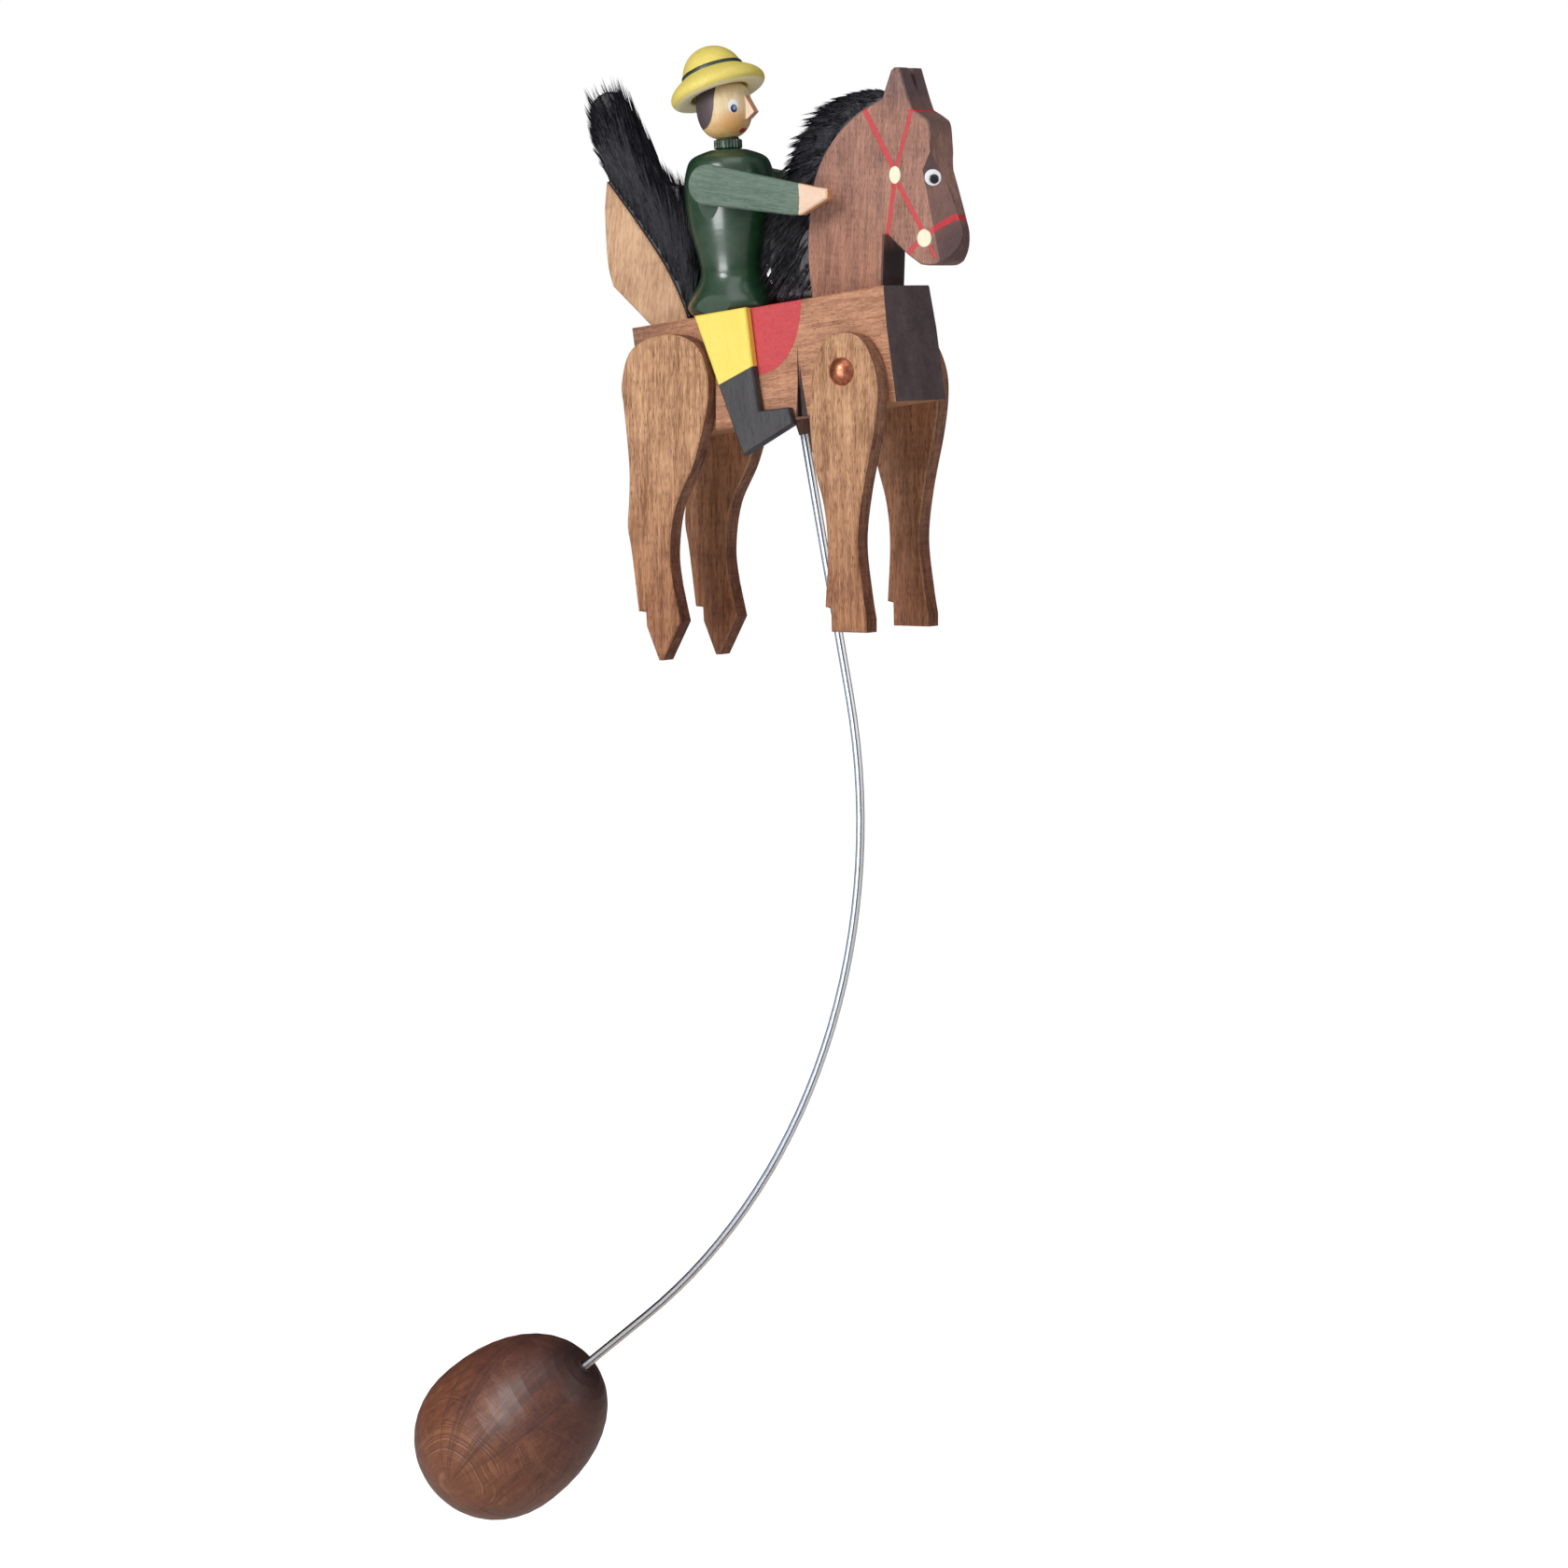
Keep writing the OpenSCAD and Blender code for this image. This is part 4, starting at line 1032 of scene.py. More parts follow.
# %% Paint and turning of the hat
def make_hat_paint():
    material, tree = new_material("hat paint")
    place = part_axes(tree, hat_axis, hat_base)
    fine = noise(tree, place, scale=1.2, detail=3, roughness=0.6)
    slow = noise(tree, place, scale=0.15, detail=1)
    top = mix(tree, ramp(tree, fine, 0.3, 0.7), rgb(238, 216, 104), rgb(246, 226, 122))
    top = mix(tree, ramp(tree, slow, 0.35, 0.65, 0, 0.5), top, rgb(232, 212, 112))
    bare = grained(tree, place, (255, 246, 206), (252, 236, 186), (220, 196, 140),
                   contrast=1.2, pores=0.5, clouds=0.8)
    is_painted = ramp(tree, facing(tree, hat_axis), -0.86, -0.7)
    colour = mix(tree, is_painted, bare["Color"], top)
    close_material(tree, colour, 0.5, fine, 0.03, Specular_IOR_Level=0.45)
    return material


def turned_hat(profile, around=160):
    """A profile [out, up] turned into a closed mesh, with a point at the top and in the roof."""
    turn = hat_axis.to_track_quat("Z", "Y")
    turns = [2 * math.pi * k / around for k in range(around)]
    points = [Vector((r * math.cos(a), r * math.sin(a), h)) for r, h in profile for a in turns]
    points += [Vector((0, 0, crown_top)), Vector((0, 0, hollow_roof))]
    top, roof = len(points) - 2, len(points) - 1
    last = (len(profile) - 1) * around
    faces = []
    for k in range(around):
        n = (k + 1) % around
        faces.append((top, k, n))
        faces += [(j + k, j + around + k, j + around + n, j + n) for j in range(0, last, around)]
        faces.append((last + k, roof, last + n))
    points = [turn @ point * mm + hat_base * mm for point in points]
    return new_object("turned_hat", points, faces, make_hat_paint())


hat = ride_with_rider(turned_hat(dome_points + brim_points))
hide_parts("hat")
print("hat faces:", len(hat.data.polygons))

# %% [markdown]
# ## Hat band
#
# A dark green line runs round the foot of the crown. It is modelled as a thin cord of paint
# that lies in the groove between crown and brim.

# %% Hat band
band_height = 3.95
band_inset = 0.06


def make_band_paint():
    material, tree = new_material("hat band paint")
    drift = noise(tree, own_place(tree), scale=1.5, detail=2)
    colour = mix(tree, ramp(tree, drift, 0.3, 0.7), rgb(40, 52, 46), rgb(58, 72, 64))
    close_material(tree, colour, 0.4, drift, 0.03)
    return material


ring_piece("hat_band", (hat_base + hat_axis * band_height) * mm, hat_axis,
           (crown_radius - band_inset) * mm, oval(0.24 * mm, 0.74 * mm), make_band_paint())
print("hat band lies", band_height, "mm up the hat")

# %% [markdown]
# ## Steel wire
#
# The wire is bright hard drawn steel with a few brown spots. Its colour also holds painted
# reflections: dark bands at fixed places round the wire, a blue tint on one side, and towards
# the ball a warm tint and a dark streak on its upper side. The way the surface faces gives the
# turn round the wire, and its cosine draws the bands.

# %% Steel wire
reflection_bands_turned = math.radians(34)
reflection_bands_round = 5.0
warm_reflection_between = (-90, -170)
dark_reflection_between = (-130, -160)
dark_reflection_side = (-0.55, -0.32, 0.77)


def painted_reflection_bands(tree):
    """The turn round the wire, from the way the surface faces, and the painted reflection bands at
    their places.
    """
    normal = split(tree, add(tree, "ShaderNodeTexCoord").outputs["Normal"])
    in_plane = calc(tree, "SUBTRACT", 1.0, calc(tree, "POWER", normal[1], 2.0), clamp=True)
    in_plane = product(tree, calc(tree, "SQRT", in_plane), calc(tree, "SIGN", normal[0]))
    turn = calc(tree, "ARCTAN2", in_plane, product(tree, normal[1], -1.0))
    turn = calc(tree, "SUBTRACT", turn, reflection_bands_turned)
    lines = calc(tree, "COSINE", product(tree, turn, reflection_bands_round))
    return turn, ramp(tree, lines, 0.62, 0.92, 0, 0.9)


def make_steel():
    material, tree = new_material("spring steel")
    place = own_place(tree)
    height = split(tree, place)[2]
    turn, lines = painted_reflection_bands(tree)
    # Painted reflection: one side of the wire is tinted blue.
    blue = ramp(tree, calc(tree, "SINE", turn), 0.1, -0.1)
    colour = mix(tree, blue, rgb(244, 245, 246), rgb(206, 218, 240))
    spots = noise(tree, place, scale=0.11, detail=4, roughness=0.7)
    colour = mix(tree, ramp(tree, spots, 0.6, 0.74, 0, 0.5), colour, rgb(176, 150, 120))
    # Painted reflection: a warm tint towards the ball.
    colour = tint(tree, ramp(tree, height, *warm_reflection_between, 0, 0.7), colour, rgb(238, 220, 196))
    # Painted reflection: dark bands at fixed places round the wire.
    colour = mix(tree, lines, colour, rgb(62, 56, 58))
    # Painted reflection: a dark streak on the upper side near the ball.
    dark = product(tree, ramp(tree, height, *dark_reflection_between),
                   ramp(tree, facing(tree, dark_reflection_side), 0.5, 0.72))
    colour = mix(tree, dark, colour, rgb(66, 56, 54))
    close_material(tree, colour, 0.34, lines, 0.004, Metallic=0.6)
    return material


finish_node(make_steel(), "pendulum_wire")
print("steel has", int(reflection_bands_round), "lines round it")

# %% [markdown]
# ## Copper nails
#
# The two legs that swing hang on dome headed nails of plain copper. Copper tarnishes in soft
# patches that are darker and also rougher, so one noise drives both colour and roughness.

# %% Copper nails
def make_copper():
    material, tree = new_material("copper")
    worn = noise(tree, own_place(tree), scale=1.4, detail=3)
    colour = mix(tree, ramp(tree, worn, 0.35, 0.7), rgb(200, 128, 98), rgb(168, 98, 72))
    roughness = calc(tree, "MULTIPLY_ADD", worn, 0.2, 0.24)
    close_material(tree, colour, roughness, worn, 0.01, Metallic=1.0)
    return material


finish_node(make_copper(), "right_leg_nail", "left_leg_nail")
print("copper ready")

# %% [markdown]
# ## Small plain wood
#
# The collar where the wire leaves the belly is dark stained wood. The dowels are bare, and
# they show only when the toy is taken apart, but each still gets its grain. One function
# serves them all, since nothing but the colours differs.

# %% Dark collar and bare dowels
def make_plain_wood(name, pale, dark):
    material, tree = new_material(name)
    grain = grained(tree, part_axes(tree, (0, 0, 1)), pale, dark, (90, 60, 48),
                    contrast=1.2, pores=0.4, clouds=0.8)
    close_material(tree, grain["Color"], 0.6, grain["Height"], 0.04, Specular_IOR_Level=0.35)
    return material


finish_node(make_plain_wood("dark collar wood", (132, 100, 86), (84, 62, 54)), "wire_collar")
finish_node(make_plain_wood("bare dowel wood", (230, 200, 160), (206, 170, 128)),
            "neck_dowels", "tail_dowel", "torso_dowel", "head_dowel", "hip_dowel")
print("plain wood ready")

# %% [markdown]
# ## Notched collar
#
# The rider's neck has a small turned collar with notches filed round it, which catch the
# light one by one. It is a ring with a rounded box as its section. Its outside goes in and
# out as a wave, squared so that the notches stay narrow, and many steps keep them crisp.

# %% Notched collar
torso_lean = math.radians(2.8)
torso_axis = Vector((-math.sin(torso_lean), 0, math.cos(torso_lean)))
torso_base = Vector((11.3, 0, 80.46))
collar_height = 40.95 * mm
collar_radius = 2.6 * mm


def rounded_box(half_width, half_height, corner, steps=4):
    """Section points of a box with rounded outer corners, anticlockwise."""
    points = [(-half_width, -half_height)]
    for middle, first in ((-1, -90), (1, 0)):
        for k in range(steps + 1):
            a = math.radians(first + 90 * k / steps)
            points.append((half_width - corner + corner * math.cos(a),
                           middle * (half_height - corner) + corner * math.sin(a)))
    points.append((-half_width, half_height))
    return points


coat_paint = nodes["rider_torso"].data.materials[0]
ring_piece("notched_collar", torso_base * mm + torso_axis * collar_height, torso_axis,
           collar_radius, rounded_box(0.75 * mm, 1.1 * mm, 0.35 * mm), coat_paint,
           waves=24, wave_depth=0.34 * mm, around=384)
print("collar painted with", coat_paint.name)

# %% [markdown]
# ## Rim of the wire's hole
#
# Where the wire enters the ball a dark ring of wood stands up round the wire as a tiny bead;
# its darkness is painted shade of the hole's mouth.

# %% Rim of the wire's hole
rim_lift = 0.1
rim_radius = 1.45
rim_at = ball_foot + ball_axis * (ball_length + rim_lift)
# Painted shade: the dark ring stands for the shaded mouth of the hole.
ring_piece("wire_hole_rim", rim_at * mm, ball_axis, rim_radius * mm, oval(0.42 * mm, 0.22 * mm),
           make_plain_wood("oiled hole edge", (70, 52, 48), (44, 32, 32)))
print("rim sits at z in mm:", round(rim_at.z, 1))

# %% [markdown]
# ## Smooth shading of the sawn outlines
#
# The sawn boards come as flat facets, but a sanded curve has none. A small Geometry Nodes
# modifier merges the doubled points and shades the surface smooth, while every edge that
# turns by more than a given angle stays crisp. It changes no point of the mesh.

# %% Smooth shading by angle
crisp_from = math.radians(28)
doubled_within = 1e-6
sawn_parts = ["neck_head", "tail_board", "right_rear_leg", "left_rear_leg", "right_front_leg",
              "left_front_leg", "right_arm", "left_arm", "right_rider_leg", "left_rider_leg"]


def make_smooth_by_angle():
    tree = bpy.data.node_groups.new("smooth by angle", "GeometryNodeTree")
    for way in ("INPUT", "OUTPUT"):
        tree.interface.new_socket("Geometry", in_out=way, socket_type="NodeSocketGeometry")
    start = tree.nodes.new("NodeGroupInput").outputs[0]
    bare = add(tree, "GeometryNodeRemoveAttribute", {"Geometry": start, "Name": "custom_normal"})
    merged = add(tree, "GeometryNodeMergeByDistance", {0: bare.outputs[0],
                                                         "Distance": doubled_within})
    angle = add(tree, "GeometryNodeInputMeshEdgeAngle").outputs["Unsigned Angle"]
    crisp = add(tree, "FunctionNodeCompare", {0: angle, 1: crisp_from}, data_type="FLOAT",
                operation="GREATER_THAN").outputs[0]
    smooth = add(tree, "GeometryNodeSetShadeSmooth", {
        "Geometry": merged.outputs[0], "Shade Smooth": True}, domain="FACE")
    edged = add(tree, "GeometryNodeSetShadeSmooth", {
        "Geometry": smooth.outputs[0], "Selection": crisp, "Shade Smooth": False}, domain="EDGE")
    end = tree.nodes.new("NodeGroupOutput")
    tree.links.new(edged.outputs[0], end.inputs[0])
    return tree


smooth_by_angle = make_smooth_by_angle()
for name in sawn_parts:
    nodes[name].modifiers.new("smooth by angle", "NODES").node_group = smooth_by_angle
print("shaded smooth:", len(sawn_parts), "sawn parts")

# %% [markdown]
# ## Hair: where it starts and ends
#
# Mane and tail are strips of black hide glued along the sawn edge. Thousands of separate
# strands are the only thing that looks like hair against a white ground. Each strand is
# rooted on the outer face of the hide strip and ends on the surface of the CAD fur, so the
# outline follows the frame. Both ends are found in the same way: a triangle is drawn by lot
# according to its area, and then a place on it.

# %% Roots and tips of the hair
def triangles(name):
    """Corner points of a CAD node's triangles, as an array, and their normals and areas."""
    mesh = nodes[name].data
    mesh.calc_loop_triangles()
    points = np.array([v.co for v in mesh.vertices])
    corners = points[np.array([t.vertices[:] for t in mesh.loop_triangles])]
    cross = np.cross(corners[:, 1] - corners[:, 0], corners[:, 2] - corners[:, 0])
    areas = np.linalg.norm(cross, axis=1) / 2
    return corners, cross / (2 * areas[:, None] + 1e-12), areas


def places_on(corners, random):
    """One random place on each triangle."""
    a, b = random.random((2, len(corners), 1))
    a, b = np.where(a + b > 1, 1 - a, a), np.where(a + b > 1, 1 - b, b)
    first = corners[:, 0]
    return first + a * (corners[:, 1] - first) + b * (corners[:, 2] - first)


def hair_roots(name, outward, count, random):
    """Random places on the faces of a hide strip that look outward, with their normals."""
    corners, normals, areas = triangles(name)
    outer = (normals @ np.array(outward) > 0.2) & (abs(normals[:, 1]) < 0.5)
    chosen = random.choice(np.flatnonzero(outer), count, p=areas[outer] / areas[outer].sum())
    return places_on(corners[chosen], random), normals[chosen]


def fur_tips(name, count, random):
    """Random places on the surface of a CAD fur, denser along its outline than on its sides."""
    corners, normals, areas = triangles(name)
    areas = areas * np.where(abs(normals[:, 1]) < 0.6, 2.6, 1.0)
    chosen = random.choice(len(areas), count, p=areas / areas.sum())
    return places_on(corners[chosen], random)


def unit(vectors):
    return vectors / (np.linalg.norm(vectors, axis=1)[:, None] + 1e-12)


for strip in ("mane_hide", "tail_hide"):
    print(strip, "area in mm2:", round(triangles(strip)[2].sum() / mm ** 2))

# %% [markdown]
# ## Hair: matching roots to tips
#
# A strand has to leave its hide the way the hair is combed. So for each tip some roots are
# tried, and the one from which the way to the tip follows the combing best is taken. A tip
# that no root can reach in this way gets no strand.

# %% Matching roots to tips
shortest_hair = 0.8 * mm
roots_tried = 240
good_fit = 0.86
sideways_cost = 0.04


def matched(aims, roots, flow, longest, random):
    """Pairs of a root's number and a tip, for each tip that a combed hair can reach."""
    pairs = []
    for aim in aims:
        some = random.integers(0, len(roots), roots_tried)
        way = aim - roots[some]
        reach = np.linalg.norm(way, axis=1) + 1e-9
        fit = (way * flow[some]).sum(axis=1) / reach
        fit -= np.where(reach > longest, 1.0, 0.0) + abs(way[:, 1]) / mm * sideways_cost
        best = int(np.argmax(fit))
        if fit[best] > good_fit and reach[best] > shortest_hair:
            pairs.append((some[best], aim))
    return pairs


print("roots tried for each tip:", roots_tried)

# %% [markdown]
# ## Hair: tufts
#
# Real hair sticks together in tufts, and without them a pelt looks like velvet. Every tenth
# strand leads a tuft: it draws the tips of its neighbours towards its own, the more the
# nearer they are, and all of them grow longer or shorter together.

# %% Tufts
hairs_to_a_tuft = 10
tuft_reach = 1.5 * mm
tuft_pull = 0.88


def tufted(tips, overshoot, random):
    """Tips drawn towards the leader of their tuft, and the extra length of each tuft."""
    count = len(tips)
    leads = random.choice(count, count // hairs_to_a_tuft, replace=False)
    lead_extra = random.uniform(-0.7, 1.0, len(leads)) * overshoot(tips[leads])
    pull, extra = np.zeros((count, 1)), np.zeros((count, 1))
    lead_of = np.zeros(count, dtype=int)
    for n in range(count):
        gap = np.linalg.norm(tips[leads] - tips[n], axis=1)
        lead_of[n] = int(np.argmin(gap))
        pull[n] = tuft_pull * np.exp(-(gap.min() / tuft_reach) ** 2)
        extra[n] = lead_extra[lead_of[n]]
    return tips + pull * (tips[leads[lead_of]] - tips), extra


print("a tuft draws hair together over", tuft_reach / mm, "mm")

# %% [markdown]
# ## Hair: lengths
#
# Each strand gets a length of its own, a little shorter or longer than its way to the tip. At
# the back of the tail no strand may pass a line, which keeps that side flat, and any strand
# that would enter the rider's coat is cut shorter until it stays clear.

# %% Lengths
coat_gap = 0.15 * mm
usual_length, length_scatter = 0.97, 0.12
tip_scatter = 0.1 * mm


def surface_of(name):
    """A node's surface, ready for ray casting."""
    mesh = nodes[name].data
    return BVHTree.FromPolygons([v.co for v in mesh.vertices], [p.vertices for p in mesh.polygons])


coat_surface = surface_of("rider_torso")


def kept_clear(tips, starts):
    """Shortens each hair whose end would go into the rider's coat."""
    for n, (tip, start) in enumerate(zip(tips, starts)):
        for share in (1.0, 0.9, 0.8, 0.7):
            point = Vector(start + share * (tip - start))
            spot, normal = coat_surface.find_nearest(point)[:2]
            if (point - spot).dot(normal) > coat_gap:
                break
        tips[n] = point
    return tips


def back_line(z):
    """How far back hair may reach at a height, which keeps the back of the tail flat."""
    return np.interp(z / mm, [100, 112, 115.3, 126, 132.7, 138],
                     [-60, -24.0, -25.3, -28.3, -29.3, -29.8]) * mm


def trimmed(tips, starts, way, extra, random):
    """Each hair with a length of its own, kept off the back line and the rider's coat."""
    reach = np.linalg.norm(tips - starts, axis=1)[:, None]
    share = np.clip(random.normal(usual_length, length_scatter, (len(tips), 1)), 0.35, 1.06)
    tips = starts + way * np.maximum(reach * share + extra, shortest_hair)
    tips += random.normal(0, tip_scatter, (len(tips), 3))
    tips[:, 0] = np.maximum(tips[:, 0], back_line(tips[:, 2]))
    return kept_clear(tips, starts)


print("shortest hair in mm:", shortest_hair / mm)

# %% [markdown]
# ## Hair: the strand itself
#
# Blender can grow hair curves, but only a mesh leaves the scene as a solid shape. So a strand
# is a blade with three sides that bends on its way and tapers to a point, which takes only
# ten points and ten faces.

# %% Blades
blade_steps = [(0.0, 1.0), (0.42, 0.92), (0.8, 0.7)]
blade_bend = 0.42
blade_faces = [(2, 1, 0)]
for ring in (0, 3):
    for k in range(3):
        n = (k + 1) % 3
        blade_faces.append((ring + k, ring + n, ring + n + 3, ring + k + 3))
blade_faces += [(6 + k, 6 + (k + 1) % 3, 9) for k in range(3)]


def blades(name, roots, leave, tips, width, material):
    """Tapering three-sided blades from roots to tips that start off in the direction leave."""
    reach = np.linalg.norm(tips - roots, axis=1)[:, None]
    bend = roots + leave * reach * blade_bend
    side = unit(np.cross(tips - roots, np.array([0.0, 1.0, 0.0])))
    depth = unit(np.cross(tips - roots, side))
    rows = []
    for t, taper in blade_steps:
        centre = (1 - t) ** 2 * roots + 2 * t * (1 - t) * bend + t * t * tips
        for k in range(3):
            turn = 2 * math.pi * k / 3
            offset = math.cos(turn) * side + math.sin(turn) * depth
            rows.append(centre + offset * width[:, None] * taper / 2)
    rows.append(tips)
    points = np.stack(rows, axis=1).reshape(-1, 3)
    faces = [tuple(len(rows) * n + v for v in face) for n in range(len(roots))
             for face in blade_faces]
    return new_object(name, points.tolist(), faces, material)


print("faces in one blade:", len(blade_faces))

# %% [markdown]
# ## Hair: its black
#
# Black hair is never one black. A soft noise makes some of it nearly black and some a dark
# blue grey, and a plain sheen does the rest. The hide below it is much the same colour, but
# duller and a little rough, as leather is.

# %% Black of hair and hide
def make_hair():
    material, tree = new_material("black hair")
    shade = noise(tree, own_place(tree), scale=0.8, detail=2)
    colour = mix(tree, ramp(tree, shade, 0.35, 0.65), rgb(22, 22, 28), rgb(40, 40, 48))
    close_material(tree, colour, 0.4, Specular_IOR_Level=0.35)
    return material


def make_hide():
    material, tree = new_material("black hide")
    skin = noise(tree, own_place(tree), scale=2.0, detail=3)
    colour = mix(tree, ramp(tree, skin, 0.3, 0.7), rgb(26, 25, 30), rgb(48, 46, 52))
    close_material(tree, colour, 0.5, skin, 0.08)
    return material


black_hair = make_hair()
black_hide = make_hide()
print("hair and hide ready")

# %% [markdown]
# ## Hair: the mane
#
# The mane is trimmed near the ears, and lower down it gets longer and spreads over the
# withers. Both are functions of the height: one moves the tips, and the other lets them
# reach past the fur's surface.

# %% Shape of the mane
withers_front = 33.3 * mm


def smooth(low, high, value):
    """Goes smoothly from 0 to 1 while value goes from low to high."""
    t = np.clip((value - low) / (high - low), 0, 1)
    return t * t * (3 - 2 * t)


def fuller_below(points):
    """The mane is wider and reaches further back over the withers."""
    points = np.array(points)
    low = smooth(114, 100, points[:, 2] / mm)
    points[:, 1] *= 1 + 0.45 * low
    points[:, 0] -= 0.2 * low * np.maximum(withers_front - points[:, 0], 0)
    return points


def longer_below(tips):
    """The mane is trimmed near the ears and reaches further out near the withers."""
    z = tips[:, 2] / mm
    return (0.8 + 1.6 * smooth(131, 125, z) + 1.0 * smooth(112, 98, z)) * mm


print("mane spreads over the withers behind x in mm:", round(withers_front / mm, 1))

# %% [markdown]
# ## Hair: the tail
#
# The tail opens like a brush. Its tips move away from a slanting middle line, the more the
# higher they are. It is ragged at its end and along its front edge, and lies flat along its
# back.

# %% Shape of the tail
def tail_middle(z):
    """How far forward the middle of the tail is at a height, in millimetres."""
    return -17.3 - 0.48 * (z - 118)


def fanned(points):
    """The tail opens like a brush: its upper half is wider than its root."""
    points = np.array(points)
    z = points[:, 2] / mm
    middle = tail_middle(z)
    high = smooth(113, 130, z)
    points[:, 0] = (middle + 0.5 * high + (points[:, 0] / mm - middle) * (1 + 0.28 * high)) * mm
    return points


def brush_ends(tips):
    """The tail is ragged at its end and along its front edge, and lies flat along its back."""
    x, z = tips[:, 0] / mm, tips[:, 2] / mm
    front = smooth(-1.0, 2.5, x - tail_middle(z))
    return (0.4 + 1.3 * np.maximum(smooth(127, 131, z), 0.9 * front)) * mm


print("middle of the tail at z 118 mm is at x", tail_middle(118))

# %% [markdown]
# ## Hair: combing
#
# Combing is a mix of two directions, along the strip and straight out of it. The mane is
# brushed up and stands, and the tail is brushed along its board.

# %% Combing
def combed(back, up):
    """A way of combing: so much along the strip and so much straight out of it."""
    def comb(normals):
        along = np.stack([-normals[:, 2], 0 * normals[:, 1], normals[:, 0]], axis=1)
        return back * along + up * normals
    return comb


mane_comb = combed(0.8, 0.6)
tail_comb = combed(0.95, 0.3)
print("on level skin the mane leaves as", mane_comb(np.array([[0.0, 0.0, 1.0]])).round(2)[0])

# %% [markdown]
# ## Hair: growing it
#
# Now the steps come together: roots, tips, matching, tufts, lengths and blades. The random
# numbers come from a generator with a fixed seed, so the same hair grows on each run. Three
# widths of strand are mixed, because a pelt of equal hairs looks like wire.

# %% Grow the mane and the tail
root_count = 1600
root_depth = 0.15 * mm
strand_widths = [0.24 * mm, 0.34 * mm, 0.48 * mm]


def grow(name, hide, fur, outward, comb, count, longest, spread, overshoot, seed):
    """Hair on a hide strip: comb gives the way a hair leaves its root, spread moves the ends."""
    random = np.random.default_rng(seed)
    roots, normals = hair_roots(hide, outward, root_count, random)
    flow = unit(comb(normals))
    aims = spread(fur_tips(fur, 3 * count, random))
    pairs = matched(aims, roots, flow, longest, random)[:count]
    chosen = np.array([root for root, _ in pairs])
    starts, outwards = roots[chosen], normals[chosen]
    tips, extra = tufted(np.array([aim for _, aim in pairs]), overshoot, random)
    way = unit(tips - starts)
    tips = trimmed(tips, starts, way, extra, random)
    width = random.choice(strand_widths, len(tips), p=[0.4, 0.4, 0.2])
    hair = blades(name, starts - outwards * root_depth, unit(way + 0.35 * outwards), tips, width,
                  black_hair)
    print(name, "strands:", len(tips))
    return ride_with_rider(hair)


mane_hair = grow("mane_hair", "mane_hide", "mane_fur", (-0.9, 0, 0.45), mane_comb, 6800,
                 19 * mm, fuller_below, longer_below, seed=11)
tail_hair = grow("tail_hair", "tail_hide", "tail_fur", (0.9, 0, 0.45), tail_comb, 7500,
                 30 * mm, fanned, brush_ends, seed=12)

# %% [markdown]
# ## Under-fur
#
# Between the strands the eye must find more hair, not the wood behind. A real pelt has a
# dense under-fur on its hide, so one dark body holds both. It is the CAD fur, drawn in by
# about a millimetre and a half, joined with the hide strip, remeshed and roughened. It never
# reaches the outline, and near the strip and the wood it keeps the strip's own shape.

# %% Under-fur and hide
voxel = 0.42 * mm
roughness_depth = 0.16 * mm


def joined_evenly(name, parts):
    """Some meshes joined and remeshed into one closed body with small, even faces."""
    points, faces = [], []
    for part in parts:
        faces += [[len(points) + v for v in p.vertices] for p in part.polygons]
        points += [v.co.copy() for v in part.vertices]
    body = new_object(name, points, faces, black_hide)
    remesh = body.modifiers.new("even mesh", "REMESH")
    remesh.mode = "VOXEL"
    remesh.voxel_size = voxel
    even = bpy.data.meshes.new_from_object(
        body.evaluated_get(bpy.context.evaluated_depsgraph_get()))
    body.modifiers.clear()
    body.data = even
    return body


def pelt(name, fur, hide, spread, drawn_in, seed):
    """Under-fur and hide strip as one closed body, rough outside and plain on the hide."""
    body = joined_evenly(name, [nodes[fur].data, nodes[hide].data])
    mesh = body.data
    places = np.array([v.co for v in mesh.vertices])
    normals = np.array([v.normal for v in mesh.vertices])
    strip = surface_of(hide)
    away = np.array([strip.find_nearest(v.co)[3] for v in mesh.vertices])[:, None] / mm
    rough = np.random.default_rng(seed).normal(0, roughness_depth, (len(places), 1))
    moved = spread(places) - normals * (drawn_in + rough)
    over_seat = (places @ np.array(above_trunk) / mm - seat_height)[:, None]
    share = smooth(0.15, 1.6, away) * smooth(0.2, 2.5, over_seat)
    places += share * (moved - places)
    mesh.vertices.foreach_set("co", places.ravel())
    mesh.polygons.foreach_set("use_smooth", [True] * len(mesh.polygons))
    ride_with_rider(body)
    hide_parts(hide)
    print(name, "faces:", len(mesh.polygons))


pelt("mane_pelt", "mane_fur", "mane_hide", fuller_below, 1.4 * mm, seed=21)
pelt("tail_pelt", "tail_fur", "tail_hide", fanned, 1.5 * mm, seed=22)
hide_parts("mane_fur")
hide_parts("tail_fur")

# %% [markdown]
# ## Eyes of the horse
#
# Each eye is a drop of thick white enamel with a black drop on it, on the sloping cheek. They
# are small domes rather than flat dots, so each catches its own highlight. Their place is
# found by casting a ray from the side onto the cheek.

# %% Eyes
eye_at = (66.7, 113.15)
pupil_at = (66.9, 112.8)
eye_radius = 1.95 * mm
pupil_radius = 1.15 * mm


def make_enamel(name, colour):
    material, tree = new_material(name)
    drift = noise(tree, own_place(tree), scale=0.9, detail=1)
    shade = mix(tree, ramp(tree, drift, 0.3, 0.7, 0, 0.08), colour, rgb(120, 120, 130))
    close_material(tree, shade, 0.12, drift, 0.02, Coat_Weight=0.6, Coat_Roughness=0.06)
    return material


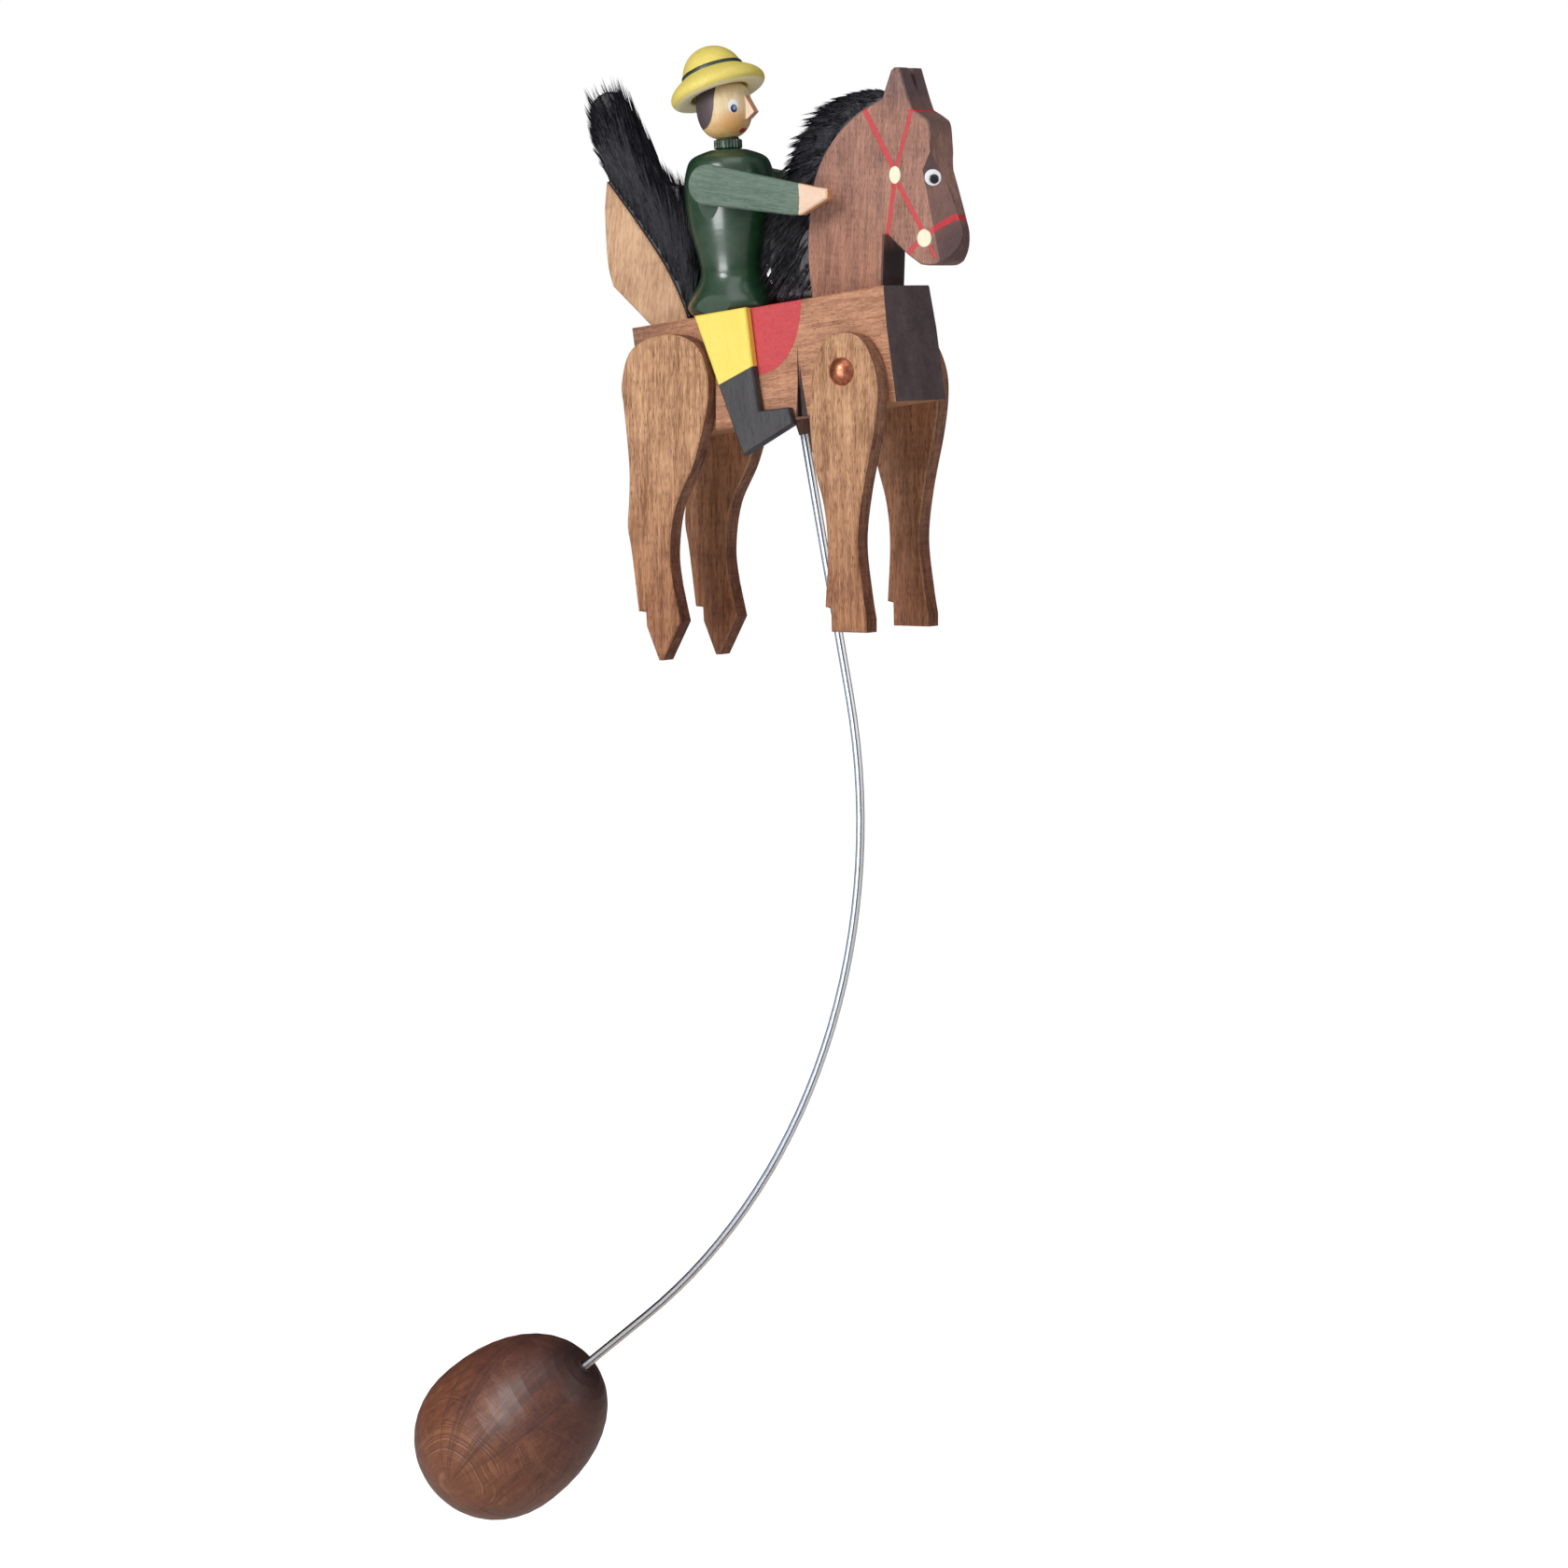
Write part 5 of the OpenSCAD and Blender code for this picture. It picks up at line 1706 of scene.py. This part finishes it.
def drop(name, place, normal, radius, height, material, rings=8, around=32):
    """A shallow dome of enamel, set a little into the surface."""
    turn = Vector(normal).normalized().to_track_quat("Z", "Y")
    points = [(0, 0, -0.3 * height)]
    for ring in range(rings + 1):
        climb = math.pi / 2 * ring / (rings + 0.6)
        r = radius * math.cos(climb)
        points += [(r * math.cos(2 * math.pi * k / around), r * math.sin(2 * math.pi * k / around),
                    height * math.sin(climb)) for k in range(around)]
    points.append((0, 0, height))
    sides = [(k, (k + 1) % around) for k in range(around)]
    last = 1 + rings * around
    faces = [(0, 1 + n, 1 + k) for k, n in sides]
    for base in range(1, last, around):
        faces += [(base + k, base + n, base + around + n, base + around + k) for k, n in sides]
    faces += [(last + k, last + n, len(points) - 1) for k, n in sides]
    points = [turn @ Vector(p) + Vector(place) for p in points]
    return ride_with_rider(new_object(name, points, faces, material))


white_enamel = make_enamel("white enamel", rgb(246, 247, 250))
black_enamel = make_enamel("black enamel", rgb(12, 12, 18))
head_surface = surface_of("neck_head")
for side, label in ((-1, "right"), (1, "left")):
    for part, (x, z), radius, height, lift, enamel in (
            ("white", eye_at, eye_radius, 0.28 * mm, 0.0, white_enamel),
            ("pupil", pupil_at, pupil_radius, 0.3 * mm, 0.2 * mm, black_enamel)):
        start = Vector((x * mm, side * 0.05, z * mm))
        spot, normal = head_surface.ray_cast(start, Vector((0, -side, 0)))[:2]
        drop(f"{label}_eye_{part}", spot + normal * lift, normal, radius, height, enamel)
print("eyes set at", eye_at, "on both cheeks")

# %% [markdown]
# ## Floor
#
# The toy hangs over a plain pale floor. To the camera the floor shows white, through Light
# Path, so the picture gets its clean ground while the light on the toy stays at a plain
# level. The floor is marked as part of the stage, not of the toy.

# %% Floor
floor_gap = 60 * mm
floor_half = 12.0
level = cad_box[0].z - floor_gap


def make_floor_material():
    material, tree = new_material("pale floor")
    paths = add(tree, "ShaderNodeLightPath").outputs
    shown = both(tree, paths["Is Camera Ray"], paths["Is Transmission Ray"])
    shader = add(tree, "ShaderNodeBsdfPrincipled", {
        "Base Color": rgb(230, 230, 230), "Roughness": 0.9,
        "Emission Color": (1, 1, 1, 1), "Emission Strength": product(tree, shown, 0.9)})
    output = add(tree, "ShaderNodeOutputMaterial")
    tree.links.new(shader.outputs[0], output.inputs[0])
    return material


floor = new_object("floor", [(x * floor_half, y * floor_half, level)
                             for x, y in ((-1, -1), (1, -1), (1, 1), (-1, 1))],
                   [(0, 1, 2, 3)], make_floor_material())
floor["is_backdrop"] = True
print("floor at z in mm:", round(level / mm, 1))

# %% [markdown]
# ## Lamps
#
# A large soft box stands at the upper left of the camera, a weaker one above and one at the
# right for the second highlight. A low strip lifts the shadows under the belly but shows in
# no reflection. A low window does the opposite: it adds nothing to matte surfaces and is only
# seen as a glint, the long soft one down the side of the glossy coat.

# %% Lamps
def from_camera(right, up, near):
    """A direction given as seen by the camera: to the right, up and towards it."""
    a = math.radians(camera_turn)
    return Vector((math.cos(a) * right + math.sin(a) * near,
                   math.sin(a) * right - math.cos(a) * near, up))


def soft_box(name, toward, distance, width, height, power):
    """An area lamp that looks at the middle of the toy from the given direction."""
    middle = (cad_box[0] + cad_box[1]) / 2
    data = bpy.data.lights.new(name, "AREA")
    data.shape = "RECTANGLE"
    data.size = width
    data.size_y = height
    data.energy = power
    lamp = bpy.data.objects.new(name, data)
    lamp.visible_camera = False
    way = Vector(toward).normalized()
    lamp.location = middle + way * distance
    lamp.rotation_euler = way.to_track_quat("Z", "Y").to_euler()
    put_in_scene(lamp)
    return lamp


soft_box("key light", from_camera(-0.62, 0.52, 0.75), distance=1.6, width=0.5, height=0.75,
         power=14.5)
soft_box("top light", from_camera(0.1, 1.3, 0.6), distance=1.6, width=1.1, height=1.1, power=5)
soft_box("right light", from_camera(1.0, 0.35, 0.45), distance=1.7, width=0.9, height=0.9,
         power=3.5)
low_fill = soft_box("low fill", from_camera(-0.1, -0.2, 1.0), distance=0.9, width=0.9,
                    height=0.1, power=0.9)
low_fill.visible_glossy = False
low_window = soft_box("low window", from_camera(-0.56, -0.03, 0.8), distance=0.9, width=0.44,
                      height=0.34, power=4.0)
low_window.visible_diffuse = False
print("lamps:", len(bpy.data.lights))

# %% [markdown]
# ## Background
#
# The world is white to the camera and dim as a light. In reflections it fades from a soft
# grey on the camera's side to near black behind the toy. The edges of glossy paint and steel
# mirror what is behind them, so they stay dark and clear instead of turning milky.

# %% Background
ambient = 0.16
world = bpy.data.worlds.new("studio")
world.use_nodes = True
bpy.context.scene.world = world
sky = world.node_tree
sky.nodes.clear()
paths = add(sky, "ShaderNodeLightPath").outputs
seen = both(sky, paths["Is Camera Ray"], paths["Is Transmission Ray"])
direction = add(sky, "ShaderNodeTexCoord").outputs["Generated"]
behind = vector_calc(sky, "DOT_PRODUCT", direction, -from_camera(0, 0, 1))
mirrored = ramp(sky, behind, -0.1, 0.5, 0.34, 0.03)
strength = add(sky, "ShaderNodeMix", {0: paths["Is Glossy Ray"], 2: ambient, 3: mirrored})
strength = both(sky, strength.outputs[0], seen)
background = add(sky, "ShaderNodeBackground", {"Color": (1, 1, 1, 1), "Strength": strength})
sky_output = add(sky, "ShaderNodeOutputWorld")
sky.links.new(background.outputs[0], sky_output.inputs[0])
bpy.context.scene.view_settings.view_transform = "Standard"
print("ambient light:", ambient)

# %% [markdown]
# ## Sizes
#
# The last cell prints how much the dressed toy has grown over the CAD box along each axis,
# in millimetres.

# %% Sizes and finish
dressed_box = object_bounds()
growth = [round((dressed_box[1][i] - dressed_box[0][i] - cad_box[1][i] + cad_box[0][i]) / mm, 2)
          for i in range(3)]
print("growth over the CAD box in mm:", growth)
